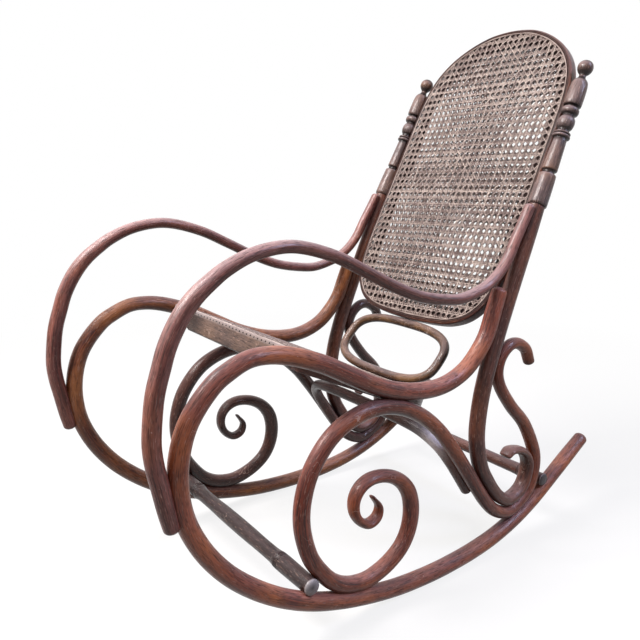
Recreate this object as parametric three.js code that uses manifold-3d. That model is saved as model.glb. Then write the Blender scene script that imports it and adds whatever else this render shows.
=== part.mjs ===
// A bentwood rocking chair with caned seat and back, in millimetres, +Z up, its front towards -Y.
// Each side frame is three steam-bent beech rods that touch where they cross and are screwed there:
// the rocker that turns up into the seat rail, the long scroll, and the rear post with its curl.
// The armrest is a fourth rod. +X is the sitter's left.

import * as THREE from "three";
import { mergeVertices } from "three/addons/utils/BufferGeometryUtils.js";
import Module from "manifold-3d";

const wasm = await Module();
wasm.setup();

// The side frame: outlineDepth and outlineHeight are what its outline shares are taken of.
const outlineDepth = 1000;
const outlineHeight = 1000;
const floorSpread = 250; // from the middle of the chair to a side frame's plane, at the floor
const topSpread = 225; // the same at outlineHeight, so that the frames lean in
const originShare = 0.0151; // moves the outlines so that the origin is under the middle of the box

// Rods, as the radius at full thickness
const railRadius = 16.5;
const scrollRadius = 15;
const postRadius = 16.5;
const armRadius = 14;
const ringRadius = 9.8;
const braceRadius = 12;

// Fits
const touchGap = 0.3; // what stays between two pieces that touch
const cutOverrun = 4;
const wearDepth = 0.8; // the flat that the floor has worn under each rocker

// Turned posts
const turnedLength = 318;
const turnedLean = THREE.MathUtils.degToRad(26.6);
const turnedRadius = 19.5;
const dowelRadius = 5;
const dowelLength = 56;

// Caned back
const hoopLean = THREE.MathUtils.degToRad(26.5);
const hoopHeight = 706;
const hoopBelowJoint = 287; // the part of hoopHeight that is under the turned post's joint
const hoopWidth = 36;
const hoopDepth = 25;
const hoopForward = 5; // how far its front face stands in front of the posts' axes
const hoopEdgeRadius = 5;
const hoopBite = 1; // how deep the posts are let into its sides
const caneThickness = 2.4;
const backCaneMargin = 8; // the bare wood between the hoop's edge and its cane

// Oval ring
const ringHalfWidth = 146;
const ringSetback = 8; // how far behind the posts' axes it meets the hoop

// Seat
const seatBite = 3; // how deep the rails are let into its sides at the front
const seatRimWidth = 26;
const seatRimDepth = 32;
const seatCornerRadius = 130;
const seatCaneLap = 11; // how far the cane reaches onto the rim and the front rail
const seatWindowCount = 12; // windows in the cane each way, far fewer and larger than woven ones
const seatWindowShare = 0.55; // of the windows' spacing
const frontRailDepth = 41;
const frontRailThickness = 22;
const seatEdgeRadius = 4;
const seatTenonWidth = 14;
const seatTenonDepth = 12;
const seatTenonLength = 14; // as far as it enters the front rail

// Brace under the seat
const braceCornerRadius = 80;
const braceLegLength = 173;
const braceClearance = 23; // between its bar and the seat's rim

// Stretchers
const stretcherOverhang = 12; // past the middle of the rocker that it lies on
const stretcherBite = 2; // how deep a stretcher is let down onto the rockers
const frontStretcherRadius = 16;
const rearStretcherRadius = 15.5;

// Screws
const screwRadius = 2.2;
const screwHeadRadius = 4.6;
const screwHeadDepth = 3;
const screwPast = 5; // how far a tip passes the middle of the rod that it holds
const crossScrewBite = 12;
const ringScrewBite = 12;

// How finely curves are cut into flats
const rodSides = 10;
const turnedSides = 12;
const ringSides = 8;
const screwSides = 6;
const turnPerRing = THREE.MathUtils.degToRad(26);
const samplesPerSpan = 40;
const blankRadius = 1; // of the unit blanks that are scaled and bent into the pieces
const blankTubeRadius = 0.5;
const hoopSteps = 48;
const ringSteps = 32;
const seatCurveSegments = 4;
const mergeTolerance = 1e-4;

// Outlines of one side frame: rows of depth share, height share, and where it isn't 1 the rod's
// thickness in the frame's plane and its breadth across it, as shares of the rod's full radius.
const rockerLowShare = 0.016; // the height share of the rocker's lowest centre
const railShares = [
  [0.193, 0.5615, 0.94, 0.94], [0.188, 0.5495, 0.96, 0.96], [0.1768, 0.522, 0.97],
  [0.1589, 0.4793, 0.98], [0.133, 0.447, 0.98], [0.104, 0.423, 0.98], [0.07, 0.408, 0.98],
  [0.034, 0.401, 0.98], [-0.01, 0.402, 0.98], [-0.06, 0.411, 0.98], [-0.123, 0.433, 0.98],
  [-0.183, 0.464, 0.98], [-0.243, 0.496, 0.96], [-0.307, 0.52, 0.92, 0.96],
  [-0.345, 0.527, 0.86, 0.94], [-0.378, 0.526, 0.85, 0.94], [-0.412, 0.513, 0.88, 0.94],
  [-0.437, 0.498, 0.9, 0.95], [-0.48, 0.447, 0.94, 0.96], [-0.499, 0.382, 0.96],
  [-0.495, 0.313, 0.96], [-0.471, 0.251, 0.97], [-0.432, 0.194, 0.98], [-0.383, 0.146],
  [-0.328, 0.106], [-0.267, 0.074], [-0.203, 0.051], [-0.136, 0.034], [-0.069, 0.0225], [0, 0.017],
  [0.04, 0.016], [0.08, 0.017], [0.134, 0.0205], [0.202, 0.0305, 0.97], [0.267, 0.0485, 0.94],
  [0.329, 0.0745, 0.93], [0.389, 0.108, 0.93], [0.448, 0.143, 0.93], [0.507, 0.177, 0.91, 0.93],
];
const scrollShares = [
  [-0.132, 0.227, 0.22, 0.62], [-0.1175, 0.204, 0.4, 0.74], [-0.1235, 0.186, 0.52, 0.82],
  [-0.143, 0.179, 0.56, 0.88], [-0.164, 0.192, 0.56, 0.92], [-0.1755, 0.214, 0.58, 0.95],
  [-0.174, 0.238, 0.6, 0.97], [-0.161, 0.255, 0.66, 0.98], [-0.138, 0.264, 0.72],
  [-0.103, 0.26, 0.8], [-0.07, 0.243, 0.9], [-0.047, 0.216, 1.02], [-0.038, 0.187, 1.06, 1.02],
  [-0.038, 0.158, 1.06, 1.02], [-0.046, 0.129, 1.03], [-0.061, 0.106], [-0.086, 0.087],
  [-0.119, 0.0735], [-0.15, 0.0685], [-0.192, 0.0765], [-0.225, 0.096], [-0.251, 0.126],
  [-0.269, 0.155], [-0.281, 0.19], [-0.287, 0.23], [-0.283, 0.27], [-0.265, 0.317], [-0.22, 0.367],
  [-0.155, 0.392], [-0.087, 0.3885], [-0.023, 0.36, 0.97], [0.03, 0.317, 0.95, 0.95],
  [0.074, 0.264, 0.95, 0.95], [0.115, 0.207, 0.95, 0.95], [0.155, 0.15, 0.95, 0.95],
  [0.176, 0.122, 0.94, 0.95], [0.203, 0.095, 0.94, 0.95], [0.231, 0.0795, 0.93, 0.95],
  [0.254, 0.0755, 0.93, 0.95], [0.276, 0.083, 0.93, 0.95], [0.297, 0.093, 0.93, 0.95],
  [0.312, 0.104, 0.93, 0.95], [0.323, 0.12, 0.93, 0.95], [0.33, 0.138, 0.93, 0.95],
  [0.334, 0.16, 0.93, 0.95], [0.333, 0.182, 0.93, 0.95], [0.325, 0.207, 0.93, 0.95],
  [0.291, 0.267, 0.9, 0.93], [0.242, 0.319, 0.86, 0.9], [0.205, 0.37, 0.82, 0.87],
  [0.197, 0.398, 0.8, 0.86], [0.2025, 0.422, 0.8, 0.86], [0.215, 0.438, 0.8, 0.86],
  [0.234, 0.449, 0.8, 0.86], [0.254, 0.449, 0.8, 0.86], [0.272, 0.441, 0.8, 0.86],
  [0.285, 0.43, 0.79, 0.85], [0.297, 0.404, 0.76, 0.82],
];
const postShares = [
  [0.297, 0.725], [0.271, 0.662], [0.244, 0.6], [0.217, 0.537], [0.191, 0.474], [0.167, 0.41],
  [0.149, 0.344], [0.142, 0.276], [0.15, 0.225], [0.16, 0.197, 0.95], [0.178, 0.168, 0.91],
  [0.196, 0.143, 0.88], [0.217, 0.121, 0.85], [0.243, 0.105, 0.79], [0.27, 0.108, 0.76],
  [0.293, 0.122, 0.71], [0.306, 0.147, 0.68], [0.309, 0.176, 0.64], [0.294, 0.2, 0.58],
  [0.268, 0.213, 0.52], [0.247, 0.215, 0.48], [0.236, 0.208, 0.42, 0.9],
];
const armShares = [
  [-0.514, 0.298, 0.93, 0.93], [-0.519, 0.323], [-0.527, 0.366], [-0.533, 0.4], [-0.535, 0.43],
  [-0.531, 0.47], [-0.525, 0.503], [-0.514, 0.537], [-0.503, 0.567], [-0.482, 0.603],
  [-0.458, 0.63, 0.94], [-0.43, 0.651, 0.88, 0.96], [-0.409, 0.664, 0.84, 0.93],
  [-0.367, 0.681, 0.78, 0.88], [-0.315, 0.689, 0.75, 0.84], [-0.276, 0.686, 0.75, 0.82],
  [-0.21, 0.666, 0.75, 0.8], [-0.148, 0.636, 0.75, 0.8], [-0.086, 0.605, 0.75, 0.8],
  [-0.022, 0.579, 0.75, 0.8], [0.045, 0.565, 0.75, 0.8], [0.085, 0.562, 0.75, 0.8],
  [0.125, 0.569, 0.75, 0.8], [0.16, 0.581, 0.75, 0.8], [0.191, 0.601, 0.76, 0.8],
  [0.216, 0.628, 0.77, 0.8], [0.235, 0.66, 0.78, 0.8], [0.254, 0.69, 0.78, 0.8],
  [0.274, 0.722, 0.78, 0.8],
];

// The turned post's outline, from its foot up: share of turnedLength, share of turnedRadius.
const turnedShares = [
  [0, 1], [0.125, 0.95], [0.206, 0.87], [0.222, 0.7], [0.252, 0.69], [0.264, 0.79], [0.45, 0.67],
  [0.468, 0.72], [0.474, 0.9], [0.49, 0.9], [0.505, 0.7], [0.53, 0.7], [0.57, 0.82], [0.608, 0.73],
  [0.63, 0.85], [0.66, 0.87], [0.68, 0.76], [0.8, 0.88], [0.84, 0.88], [0.882, 0.4], [0.896, 0.38],
  [0.925, 0.74], [0.955, 0.87], [0.982, 0.66],
];

// The hoop's outline on its right half, from the top round to the bottom: share of the half width
// between the posts at that height, share of hoopHeight.
const hoopShares = [
  [0, 1], [0.13, 0.998], [0.285, 0.991], [0.44, 0.975], [0.605, 0.949], [0.76, 0.913], [0.885, 0.864],
  [0.96, 0.807], [0.993, 0.741], [1, 0.662], [1, 0.552], [1, 0.432], [1, 0.3125], [0.995, 0.2275],
  [0.96, 0.147], [0.878, 0.086], [0.747, 0.0415], [0.565, 0.015], [0.36, 0.005], [0.17, 0.0015],
  [0, 0],
];

const ringPower = 3; // of the flattened oval that the ring follows: 2 would be an ellipse
const seatFrontShares = [-0.283, 0.5214];
const seatRearShares = [0.085, 0.3496];
const braceAlongShare = 0.976; // where its bar lies under the seat, along the seat's length
const braceFootShares = [0.148, 0.143];
const braceBendShares = [0, 0.33, 0.67, 1];
const braceLegShares = [0.35, 0.7, 1];
const braceContactShare = 0.86; // the scroll's breadth where the brace meets it

// Stretchers, from the middle out: share of the half length, share of the radius.
const frontStretcherShares = [
  [0, 0.98], [0.2, 0.98], [0.28, 0.84], [0.33, 0.76], [0.4, 0.84], [0.48, 0.98], [0.52, 1],
  [0.6, 0.98], [0.8, 0.9], [0.975, 0.84], [1, 0.78],
];
const rearStretcherShares = [
  [0, 0.93], [0.5, 0.93], [0.73, 0.96], [0.765, 1.03], [0.785, 0.95], [0.81, 1.01], [0.85, 0.93],
  [0.95, 0.85], [0.99, 0.72], [1, 0.5],
];
const stretcherEndShare = 0.88; // of its radius, where it crosses the rockers
const frontStretcherPlaceShare = 0.648; // how far along the rail's outline it lies, counted in rows
const rearStretcherPlaceShare = 0.939;

const capShare = 0.7; // how long a rod's rounded end is, as a share of its thickness there
const capShoulder = new THREE.Vector2(0.65, 0.76); // across and along, on a rounded end of 1 by 1
const screwSeatShare = 0.9; // how far out of a rod's middle a head lies

// Screws in the side frame: the outer rod's outline and radius, then for each screw the place on
// that outline where it starts and the place in the next rod that it points at.
const sideScrewShares = [
  ["arm_rail_screw", armShares, armRadius, [
    [[-0.519, 0.323], [-0.4965, 0.3235]], [[-0.527, 0.366], [-0.498, 0.37]],
  ]],
  ["arm_post_screw", armShares, armRadius, [[[0.254, 0.69], [0.2784, 0.68]]]],
  ["rail_post_screw", railShares, railRadius, [
    [[0.188, 0.5495], [0.2172, 0.5375]], [[0.1589, 0.4793], [0.1888, 0.468]],
  ]],
  ["scroll_rail_screw", scrollShares, scrollRadius, [[[-0.087, 0.3885], [-0.0735, 0.416]]]],
  ["scroll_rocker_screw", scrollShares, scrollRadius, [
    [[-0.15, 0.0685], [-0.1565, 0.037]], [[0.254, 0.0755], [0.266, 0.048]],
  ]],
  ["scroll_post_screw", scrollShares, scrollRadius, [[[0.2025, 0.422], [0.171, 0.42]]]],
  ["curl_screw", postShares, postRadius, [[[0.306, 0.147], [0.331, 0.142]]]],
];

// The other screws: places on the outlines, and shares of what they go through
const backScrewShares = [0.271, 0.662];
const seatScrewShares = [[-0.06, 0.411], [-0.243, 0.496]];
const barrelShare = 0.79;
const barrelRadiusShare = 0.88;
const braceScrewShare = 0.6;

const beech = { color: 0x7a4a3c, roughness: 0.35, metalness: 0 };
const beechLight = { color: 0x8a5a4c, roughness: 0.35, metalness: 0 };
const caneColour = { color: 0xb8a49a, roughness: 0.7, metalness: 0 };
const steel = { color: 0x4a4038, roughness: 0.5, metalness: 0.8 };

const chair = new THREE.Group();
const across = new THREE.Vector3(1, 0, 0);

// Places on the side frame

function heightAt(heightShare) {
  return (heightShare - rockerLowShare) * outlineHeight + railRadius - wearDepth;
}

function spreadAt(height) {
  return THREE.MathUtils.lerp(floorSpread, topSpread, height / outlineHeight);
}

function sidePoint([depthShare, heightShare]) {
  const height = heightAt(heightShare);
  return new THREE.Vector3(spreadAt(height), (depthShare + originShare) * outlineDepth, height);
}

// Solids and meshes

function toSolid(geometry) {
  const bare = geometry.clone();
  bare.deleteAttribute("normal");
  bare.deleteAttribute("uv");
  const merged = mergeVertices(bare, mergeTolerance);
  const corners = merged.index.array;
  const kept = [];
  for (let i = 0; i < corners.length; i += 3) {
    const [a, b, c] = corners.slice(i, i + 3);
    if (a !== b && b !== c && c !== a) kept.push(a, b, c);
  }
  const vertProperties = new Float32Array(merged.attributes.position.array);
  return new wasm.Manifold(new wasm.Mesh({ numProp: 3, vertProperties, triVerts: new Uint32Array(kept) }));
}

function toGeometry(solid) {
  const { vertProperties, triVerts } = solid.getMesh();
  const geometry = new THREE.BufferGeometry();
  geometry.setAttribute("position", new THREE.Float32BufferAttribute(vertProperties, 3));
  geometry.setIndex([...triVerts]);
  geometry.computeVertexNormals();
  return geometry;
}

function mirrored(geometry) {
  const copy = geometry.clone().scale(-1, 1, 1);
  const corners = [...copy.index.array];
  for (let i = 0; i < corners.length; i += 3) {
    [corners[i], corners[i + 1]] = [corners[i + 1], corners[i]];
  }
  copy.setIndex(corners);
  copy.computeVertexNormals();
  return copy;
}

function addMesh(name, geometry, look, parent = chair) {
  const mesh = new THREE.Mesh(geometry, new THREE.MeshStandardMaterial(look));
  mesh.name = name;
  parent.add(mesh);
  return mesh;
}

function addPair(name, solid, look) {
  const geometry = toGeometry(solid);
  addMesh(`${name}_left`, geometry, look);
  addMesh(`${name}_right`, mirrored(geometry), look);
}

function joined(solids) {
  return solids.reduce((whole, solid) => whole.add(solid));
}

// Bent rods: a straight turned blank, bent onto a curve

const flatsOut = 1 / Math.cos(Math.PI / rodSides); // brings a rod's side flats out to its full breadth

function rodFrom(points, thicknesses, breadths, sideAxis) {
  const curve = new THREE.CatmullRomCurve3(points, false, "centripetal");
  curve.arcLengthDivisions = samplesPerSpan * (points.length - 1);
  return { curve, thicknesses, breadths, sideAxis, length: curve.getLength() };
}

function sideRod(rows, radius) {
  const thicknesses = rows.map(([, , thicknessShare = 1]) => radius * thicknessShare);
  const breadths = rows.map(([, , , breadthShare = 1]) => radius * breadthShare);
  return rodFrom(rows.map(sidePoint), thicknesses, breadths, across);
}

function between(values, place) {
  const low = Math.min(Math.floor(place), values.length - 2);
  return THREE.MathUtils.lerp(values[low], values[low + 1], place - low);
}

// A ring of corners at each row of the outline, and more in a span that turns far
function ringPlaces(rod) {
  const spans = rod.thicknesses.length - 1;
  const lengths = rod.curve.getLengths();
  const places = [0];
  for (let span = 0; span < spans; span += 1) {
    const turn = rod.curve.getTangent(span / spans).angleTo(rod.curve.getTangent((span + 1) / spans));
    const pieces = Math.ceil(turn / turnPerRing);
    for (let piece = 1; piece <= pieces; piece += 1) {
      places.push(lengths[Math.round((span + piece / pieces) * samplesPerSpan)]);
    }
  }
  return places;
}

// A blank of radius 1 with rounded ends. Two of its corners lie in the frame's plane.
function turnedBlank(rod) {
  const startCap = rod.thicknesses[0] * capShare;
  const endCap = rod.thicknesses[rod.thicknesses.length - 1] * capShare;
  const outline = [
    new THREE.Vector2(0, -startCap),
    new THREE.Vector2(capShoulder.x, -startCap * capShoulder.y),
  ];
  for (const place of ringPlaces(rod)) outline.push(new THREE.Vector2(blankRadius, place));
  outline.push(new THREE.Vector2(capShoulder.x, rod.length + endCap * capShoulder.y));
  outline.push(new THREE.Vector2(0, rod.length + endCap));
  return new THREE.LatheGeometry(outline, rodSides);
}

function bentRod(rod, grow = 0) {
  const geometry = turnedBlank(rod);
  const vertices = geometry.attributes.position;
  const last = rod.thicknesses.length - 1;
  for (let i = 0; i < vertices.count; i += 1) {
    const along = vertices.getY(i);
    const share = THREE.MathUtils.clamp(along / rod.length, 0, 1);
    const place = rod.curve.getUtoTmapping(share) * last;
    const tangent = rod.curve.getTangentAt(share);
    const side = rod.sideAxis.clone().addScaledVector(tangent, -rod.sideAxis.dot(tangent)).normalize();
    const inPlane = side.clone().cross(tangent);
    const point = rod.curve.getPointAt(share).addScaledVector(tangent, along - share * rod.length);
    point.addScaledVector(side, vertices.getX(i) * flatsOut * (between(rod.breadths, place) + grow));
    point.addScaledVector(inPlane, vertices.getZ(i) * (between(rod.thicknesses, place) + grow));
    vertices.setXYZ(i, point.x, point.y, point.z);
  }
  return toSolid(geometry);
}

// A closed ring: the section's corners, as outward and sideways distances, swept round a closed curve
function closedSweep(curve, section, sideAxis, steps) {
  const geometry = new THREE.TorusGeometry(blankRadius, blankTubeRadius, section.length, steps);
  const vertices = geometry.attributes.position;
  const places = geometry.attributes.uv;
  for (let i = 0; i < vertices.count; i += 1) {
    const share = places.getX(i) % 1;
    const corner = section[Math.round(places.getY(i) * section.length) % section.length];
    const outward = curve.getTangentAt(share).cross(sideAxis).normalize();
    const point = curve.getPointAt(share).addScaledVector(outward, corner.x);
    point.addScaledVector(sideAxis, corner.y);
    vertices.setXYZ(i, point.x, point.y, point.z);
  }
  return geometry;
}

// Screws: a countersunk head flush with the wood; grow makes the hole that it turns into
function screwGeometry(length, grow = 0) {
  const neck = screwHeadDepth;
  const outline = [
    new THREE.Vector2(0, -length - grow),
    new THREE.Vector2(screwRadius + grow, -length - grow + (grow > 0 ? 0 : screwRadius)),
    new THREE.Vector2(screwRadius + grow, -neck - grow),
    new THREE.Vector2(screwHeadRadius + grow, -grow),
  ];
  if (grow > 0) {
    outline.push(new THREE.Vector2(screwHeadRadius + grow, cutOverrun), new THREE.Vector2(0, cutOverrun));
  } else {
    outline.push(new THREE.Vector2(0, 0));
  }
  return new THREE.LatheGeometry(outline, screwSides);
}

// Stands a geometry made along Y at a point, pointing its +Y back along the way it is driven.
function drivenAt(geometry, head, way) {
  const turn = new THREE.Quaternion().setFromUnitVectors(new THREE.Vector3(0, 1, 0), way.clone().negate());
  return geometry.applyQuaternion(turn).translate(head.x, head.y, head.z);
}

function screwSet(name, places) {
  const driven = (grow) =>
    places.map(({ head, way, length }) => drivenAt(screwGeometry(length, grow), head, way));
  return { name, screws: driven(0), holes: joined(driven(touchGap).map(toSolid)) };
}

// A screw in the plane of the side frame, from the surface of one rod into the next.
function sideScrew(rows, radius, from, towards) {
  const centre = sidePoint(from);
  const target = sidePoint(towards);
  const way = target.clone().sub(centre).normalize();
  const [, , thicknessShare = 1] = rows.find(([depth, height]) => depth === from[0] && height === from[1]);
  const head = centre.addScaledVector(way, -radius * thicknessShare * screwSeatShare);
  return { head, way, length: head.distanceTo(target) + screwPast };
}

// Rods of the side frame, each cut where it lies against the ones before it

const rail = sideRod(railShares, railRadius);
const scroll = sideRod(scrollShares, scrollRadius);
const post = sideRod(postShares, postRadius);
const arm = sideRod(armShares, armRadius);
const grownRail = bentRod(rail, touchGap);
const grownScroll = bentRod(scroll, touchGap);
const grownPost = bentRod(post, touchGap);

const joint = sidePoint(postShares[0]);
const turnedWay = new THREE.Vector3(
  ((topSpread - floorSpread) / outlineHeight) * Math.cos(turnedLean),
  Math.sin(turnedLean),
  Math.cos(turnedLean),
).normalize();

// Stands a geometry made along Y on the joint, in line with the turned post.
function onJoint(geometry) {
  const turn = new THREE.Quaternion().setFromUnitVectors(new THREE.Vector3(0, 1, 0), turnedWay);
  return geometry.applyQuaternion(turn).translate(joint.x, joint.y, joint.z);
}

function turnedPost(grow = 0) {
  const outline = turnedShares.map(
    ([along, radiusShare]) => new THREE.Vector2(radiusShare * turnedRadius + grow, along * turnedLength),
  );
  outline[0].y = -grow;
  outline.unshift(new THREE.Vector2(0, -grow));
  outline.push(new THREE.Vector2(0, turnedLength + grow));
  return toSolid(onJoint(new THREE.LatheGeometry(outline, turnedSides)));
}

// The space over the turned post's flat foot, wide enough to square off the rods under it.
function footCutter() {
  const reach = turnedRadius * 2;
  const geometry = new THREE.CylinderGeometry(reach, reach, reach, turnedSides);
  return toSolid(onJoint(geometry.translate(0, reach / 2 - touchGap, 0)));
}

function postDowel(grow = 0) {
  const radius = dowelRadius + grow;
  return toSolid(onJoint(new THREE.CylinderGeometry(radius, radius, dowelLength + grow * 2, screwSides)));
}

// The floor's wear on the rocker
function floorCutter() {
  const geometry = new THREE.BoxGeometry(railRadius * 4, outlineDepth, railRadius);
  return toSolid(geometry.translate(floorSpread, 0, -railRadius / 2));
}

// Frames of the parts between the sides: +X across, and for the back and the ring +Y up in their plane

function leaningFrame(origin, lean) {
  const frame = new THREE.Group();
  frame.position.copy(origin);
  frame.rotation.x = Math.PI / 2 - lean;
  chair.add(frame);
  frame.updateMatrixWorld();
  return frame;
}

// A solid of the chair's frame, seen from a group's own frame
function seenFrom(frame, solid) {
  return toSolid(toGeometry(solid).applyMatrix4(frame.matrixWorld.clone().invert()));
}

function bothSides(solid) {
  return solid.add(toSolid(mirrored(toGeometry(solid))));
}

const backOrigin = new THREE.Vector3(0, joint.y, joint.z);
const backFrame = leaningFrame(backOrigin, hoopLean);
const hoopMiddle = hoopForward - hoopDepth / 2;

const seatFront = sidePoint(seatFrontShares);
const seatDown = sidePoint(seatRearShares).sub(seatFront).setX(0);
const seatLength = seatDown.length();
const seatHalfWidth = seatFront.x - railRadius + seatBite;
const seatFrame = leaningFrame(seatFront.clone().setX(0), Math.atan2(seatDown.y, seatDown.z));

function inFrame(frame, x, y, z) {
  return new THREE.Vector3(x, y, z).applyMatrix4(frame.matrixWorld);
}

// The ring stands on the bare wood behind the seat's cane and reaches up to the hoop's underside.
const ringFootInset = (seatRimWidth - seatCaneLap) / 2;
const ringFoot = inFrame(seatFrame, 0, seatLength - ringFootInset, ringRadius + touchGap);
const ringTop = inFrame(backFrame, 0, -hoopBelowJoint - ringRadius - touchGap, -ringSetback);
const ringUp = ringTop.clone().sub(ringFoot);
const ringHalfHeight = ringUp.length() / 2;
const ringFrame = leaningFrame(ringFoot.clone().lerp(ringTop, 0.5), Math.atan2(ringUp.y, ringUp.z));

// Screws

const leftwards = across.clone();
const rightwards = across.clone().negate();

// From the outside of a side rod straight across into what it carries
function inwardScrew(centre, radius) {
  const head = centre.clone().addScaledVector(leftwards, radius * screwSeatShare);
  return { head, way: rightwards, length: radius * 2 + crossScrewBite };
}

function sideScrewSet(name, rows, radius, places) {
  return screwSet(name, places.map(([from, towards]) => sideScrew(rows, radius, from, towards)));
}

function backScrews() {
  const barrel = joint.clone().addScaledVector(turnedWay, barrelShare * turnedLength);
  return screwSet("hoop_post_screw", [
    inwardScrew(sidePoint(backScrewShares), postRadius),
    inwardScrew(barrel, barrelRadiusShare * turnedRadius),
  ]);
}

function seatScrews() {
  const places = seatScrewShares.map((place) => inwardScrew(sidePoint(place), railRadius));
  return screwSet("seat_rail_screw", places);
}

// From the middles of the ring's bars, one down into the seat and one up into the hoop
function ringScrews() {
  const reach = ringHalfHeight - ringRadius * screwSeatShare;
  const length = ringRadius * 2 + ringScrewBite;
  const places = [-1, 1].map((way) => ({
    head: inFrame(ringFrame, 0, way * reach, 0),
    way: new THREE.Vector3(0, way, 0).transformDirection(ringFrame.matrixWorld),
    length,
  }));
  return screwSet("ring_screw", places);
}

// The brace under the seat: a bar and two legs in the plane in which the scroll comes down

const braceBelow = seatRimDepth + braceClearance + braceRadius;
const braceTop = inFrame(seatFrame, 0, braceAlongShare * seatLength, -braceBelow);
const braceFoot = sidePoint(braceFootShares);
const braceDown = new THREE.Vector3(0, braceFoot.y - braceTop.y, braceFoot.z - braceTop.z).normalize();

function braceSpread(height) {
  return spreadAt(height) - scrollRadius * braceContactShare - braceRadius;
}

function bracePoint(x, down) {
  return new THREE.Vector3(x, braceTop.y, braceTop.z).addScaledVector(braceDown, down);
}

function brace() {
  const half = [];
  for (const share of braceBendShares) {
    const angle = share * Math.PI / 2;
    const x = braceSpread(braceTop.z) - braceCornerRadius * (1 - Math.sin(angle));
    half.push(bracePoint(x, braceCornerRadius * (1 - Math.cos(angle))));
  }
  for (const share of braceLegShares) {
    const down = THREE.MathUtils.lerp(braceCornerRadius, braceLegLength, share);
    half.push(bracePoint(braceSpread(bracePoint(0, down).z), down));
  }
  const points = [...half].reverse().concat(half.map((point) => point.clone().setX(-point.x)));
  const sizes = points.map(() => braceRadius);
  const sideAxis = across.clone().cross(braceDown);
  return bentRod(rodFrom(points, sizes, sizes, sideAxis));
}

function braceScrews() {
  const down = braceScrewShare * braceLegLength;
  const centre = bracePoint(braceSpread(bracePoint(0, down).z), down);
  const head = centre.addScaledVector(rightwards, braceRadius * screwSeatShare);
  const length = braceRadius * 2 + scrollRadius * screwSeatShare;
  return screwSet("brace_screw", [{ head, way: leftwards, length }]);
}

// Stretchers, turned and laid on top of both rockers

const stretcherHalfLength = floorSpread + stretcherOverhang;

function stretcher(shares, radius) {
  const right = shares.map(
    ([along, radiusShare]) => new THREE.Vector2(radiusShare * radius, along * stretcherHalfLength),
  );
  const left = [...right].reverse().map((point) => new THREE.Vector2(point.x, -point.y));
  if (right[0].y === 0) left.pop();
  const outline = [new THREE.Vector2(0, -stretcherHalfLength), ...left, ...right];
  outline.push(new THREE.Vector2(0, stretcherHalfLength));
  return new THREE.LatheGeometry(outline, turnedSides).rotateZ(-Math.PI / 2);
}

// Where a stretcher of this radius lies on the rocker, over a place between two rows of its outline
function onRocker(placeShare, radius) {
  const row = placeShare * (railShares.length - 1);
  const along = sidePoint(railShares[Math.ceil(row)]).sub(sidePoint(railShares[Math.floor(row)]));
  const foot = sidePoint(railShares[Math.floor(row)]).addScaledVector(along, row % 1);
  const up = new THREE.Vector3(0, -along.z, along.y).normalize();
  const reach = between(rail.thicknesses, row) + radius * stretcherEndShare - stretcherBite;
  return { centre: foot.clone().addScaledVector(up, reach).setX(0), up, foot };
}

function stretcherScrew({ foot, up }, radius) {
  const reach = railRadius + radius * stretcherEndShare * 2 - stretcherBite - stretcherBite;
  const head = foot.clone().addScaledVector(up, reach);
  return { head, way: up.clone().negate(), length: reach + screwPast };
}

// The hoop of the back and its cane

function hoopCurve() {
  const half = hoopShares.map(([acrossShare, upShare]) => {
    const up = upShare * hoopHeight - hoopBelowJoint;
    const height = joint.z + up * Math.cos(hoopLean);
    return new THREE.Vector3(acrossShare * (spreadAt(height) - postRadius + hoopBite), up, 0);
  });
  const right = [...half].reverse();
  const left = half.slice(1, -1).map((point) => point.clone().setX(-point.x));
  const curve = new THREE.CatmullRomCurve3([...right, ...left], true, "centripetal");
  curve.arcLengthDivisions = samplesPerSpan * (right.length + left.length);
  return curve;
}

const hoopLine = hoopCurve();
const backwards = new THREE.Vector3(0, 0, 1);

function hoopSection() {
  const half = hoopDepth / 2;
  const round = hoopEdgeRadius * (1 - Math.SQRT1_2);
  const front = [
    [0, half - hoopEdgeRadius], [-round, half - round], [-hoopEdgeRadius, half],
    [-backCaneMargin, half], [-backCaneMargin, half - caneThickness], [-hoopWidth, half - caneThickness],
  ];
  const back = [...front].reverse().map(([outward, side]) => [outward, -side]);
  return [...front, ...back].map(([outward, side]) => new THREE.Vector2(outward, side));
}

function hoop() {
  return closedSweep(hoopLine, hoopSection(), backwards, hoopSteps).translate(0, 0, hoopMiddle);
}

function insetOutline(inset) {
  const points = [];
  for (let i = 0; i < hoopSteps; i += 1) {
    const outward = hoopLine.getTangentAt(i / hoopSteps).cross(backwards).normalize();
    const point = hoopLine.getPointAt(i / hoopSteps).addScaledVector(outward, -inset);
    points.push(new THREE.Vector2(point.x, point.y));
  }
  return new THREE.Shape(points);
}

function backCane() {
  const shape = insetOutline(backCaneMargin + touchGap);
  return new THREE.ExtrudeGeometry(shape, { depth: caneThickness, bevelEnabled: false });
}

// The oval ring

function ringCurve() {
  const points = [];
  for (let i = 0; i < ringSteps; i += 1) {
    const angle = (i / ringSteps) * Math.PI * 2;
    const x = Math.sign(Math.cos(angle)) * Math.abs(Math.cos(angle)) ** (2 / ringPower);
    const y = Math.sign(Math.sin(angle)) * Math.abs(Math.sin(angle)) ** (2 / ringPower);
    points.push(new THREE.Vector3(x * ringHalfWidth, y * ringHalfHeight, 0));
  }
  return new THREE.CatmullRomCurve3(points, true, "centripetal");
}

function ring() {
  const section = [];
  for (let i = 0; i < ringSides; i += 1) {
    const angle = (i / ringSides) * Math.PI * 2;
    section.push(new THREE.Vector2(Math.cos(angle) * ringRadius, Math.sin(angle) * ringRadius));
  }
  return closedSweep(ringCurve(), section, backwards, ringSteps);
}

// The seat, in its own frame: +X across, +Y down the slope to the rear, +Z out of its top

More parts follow.
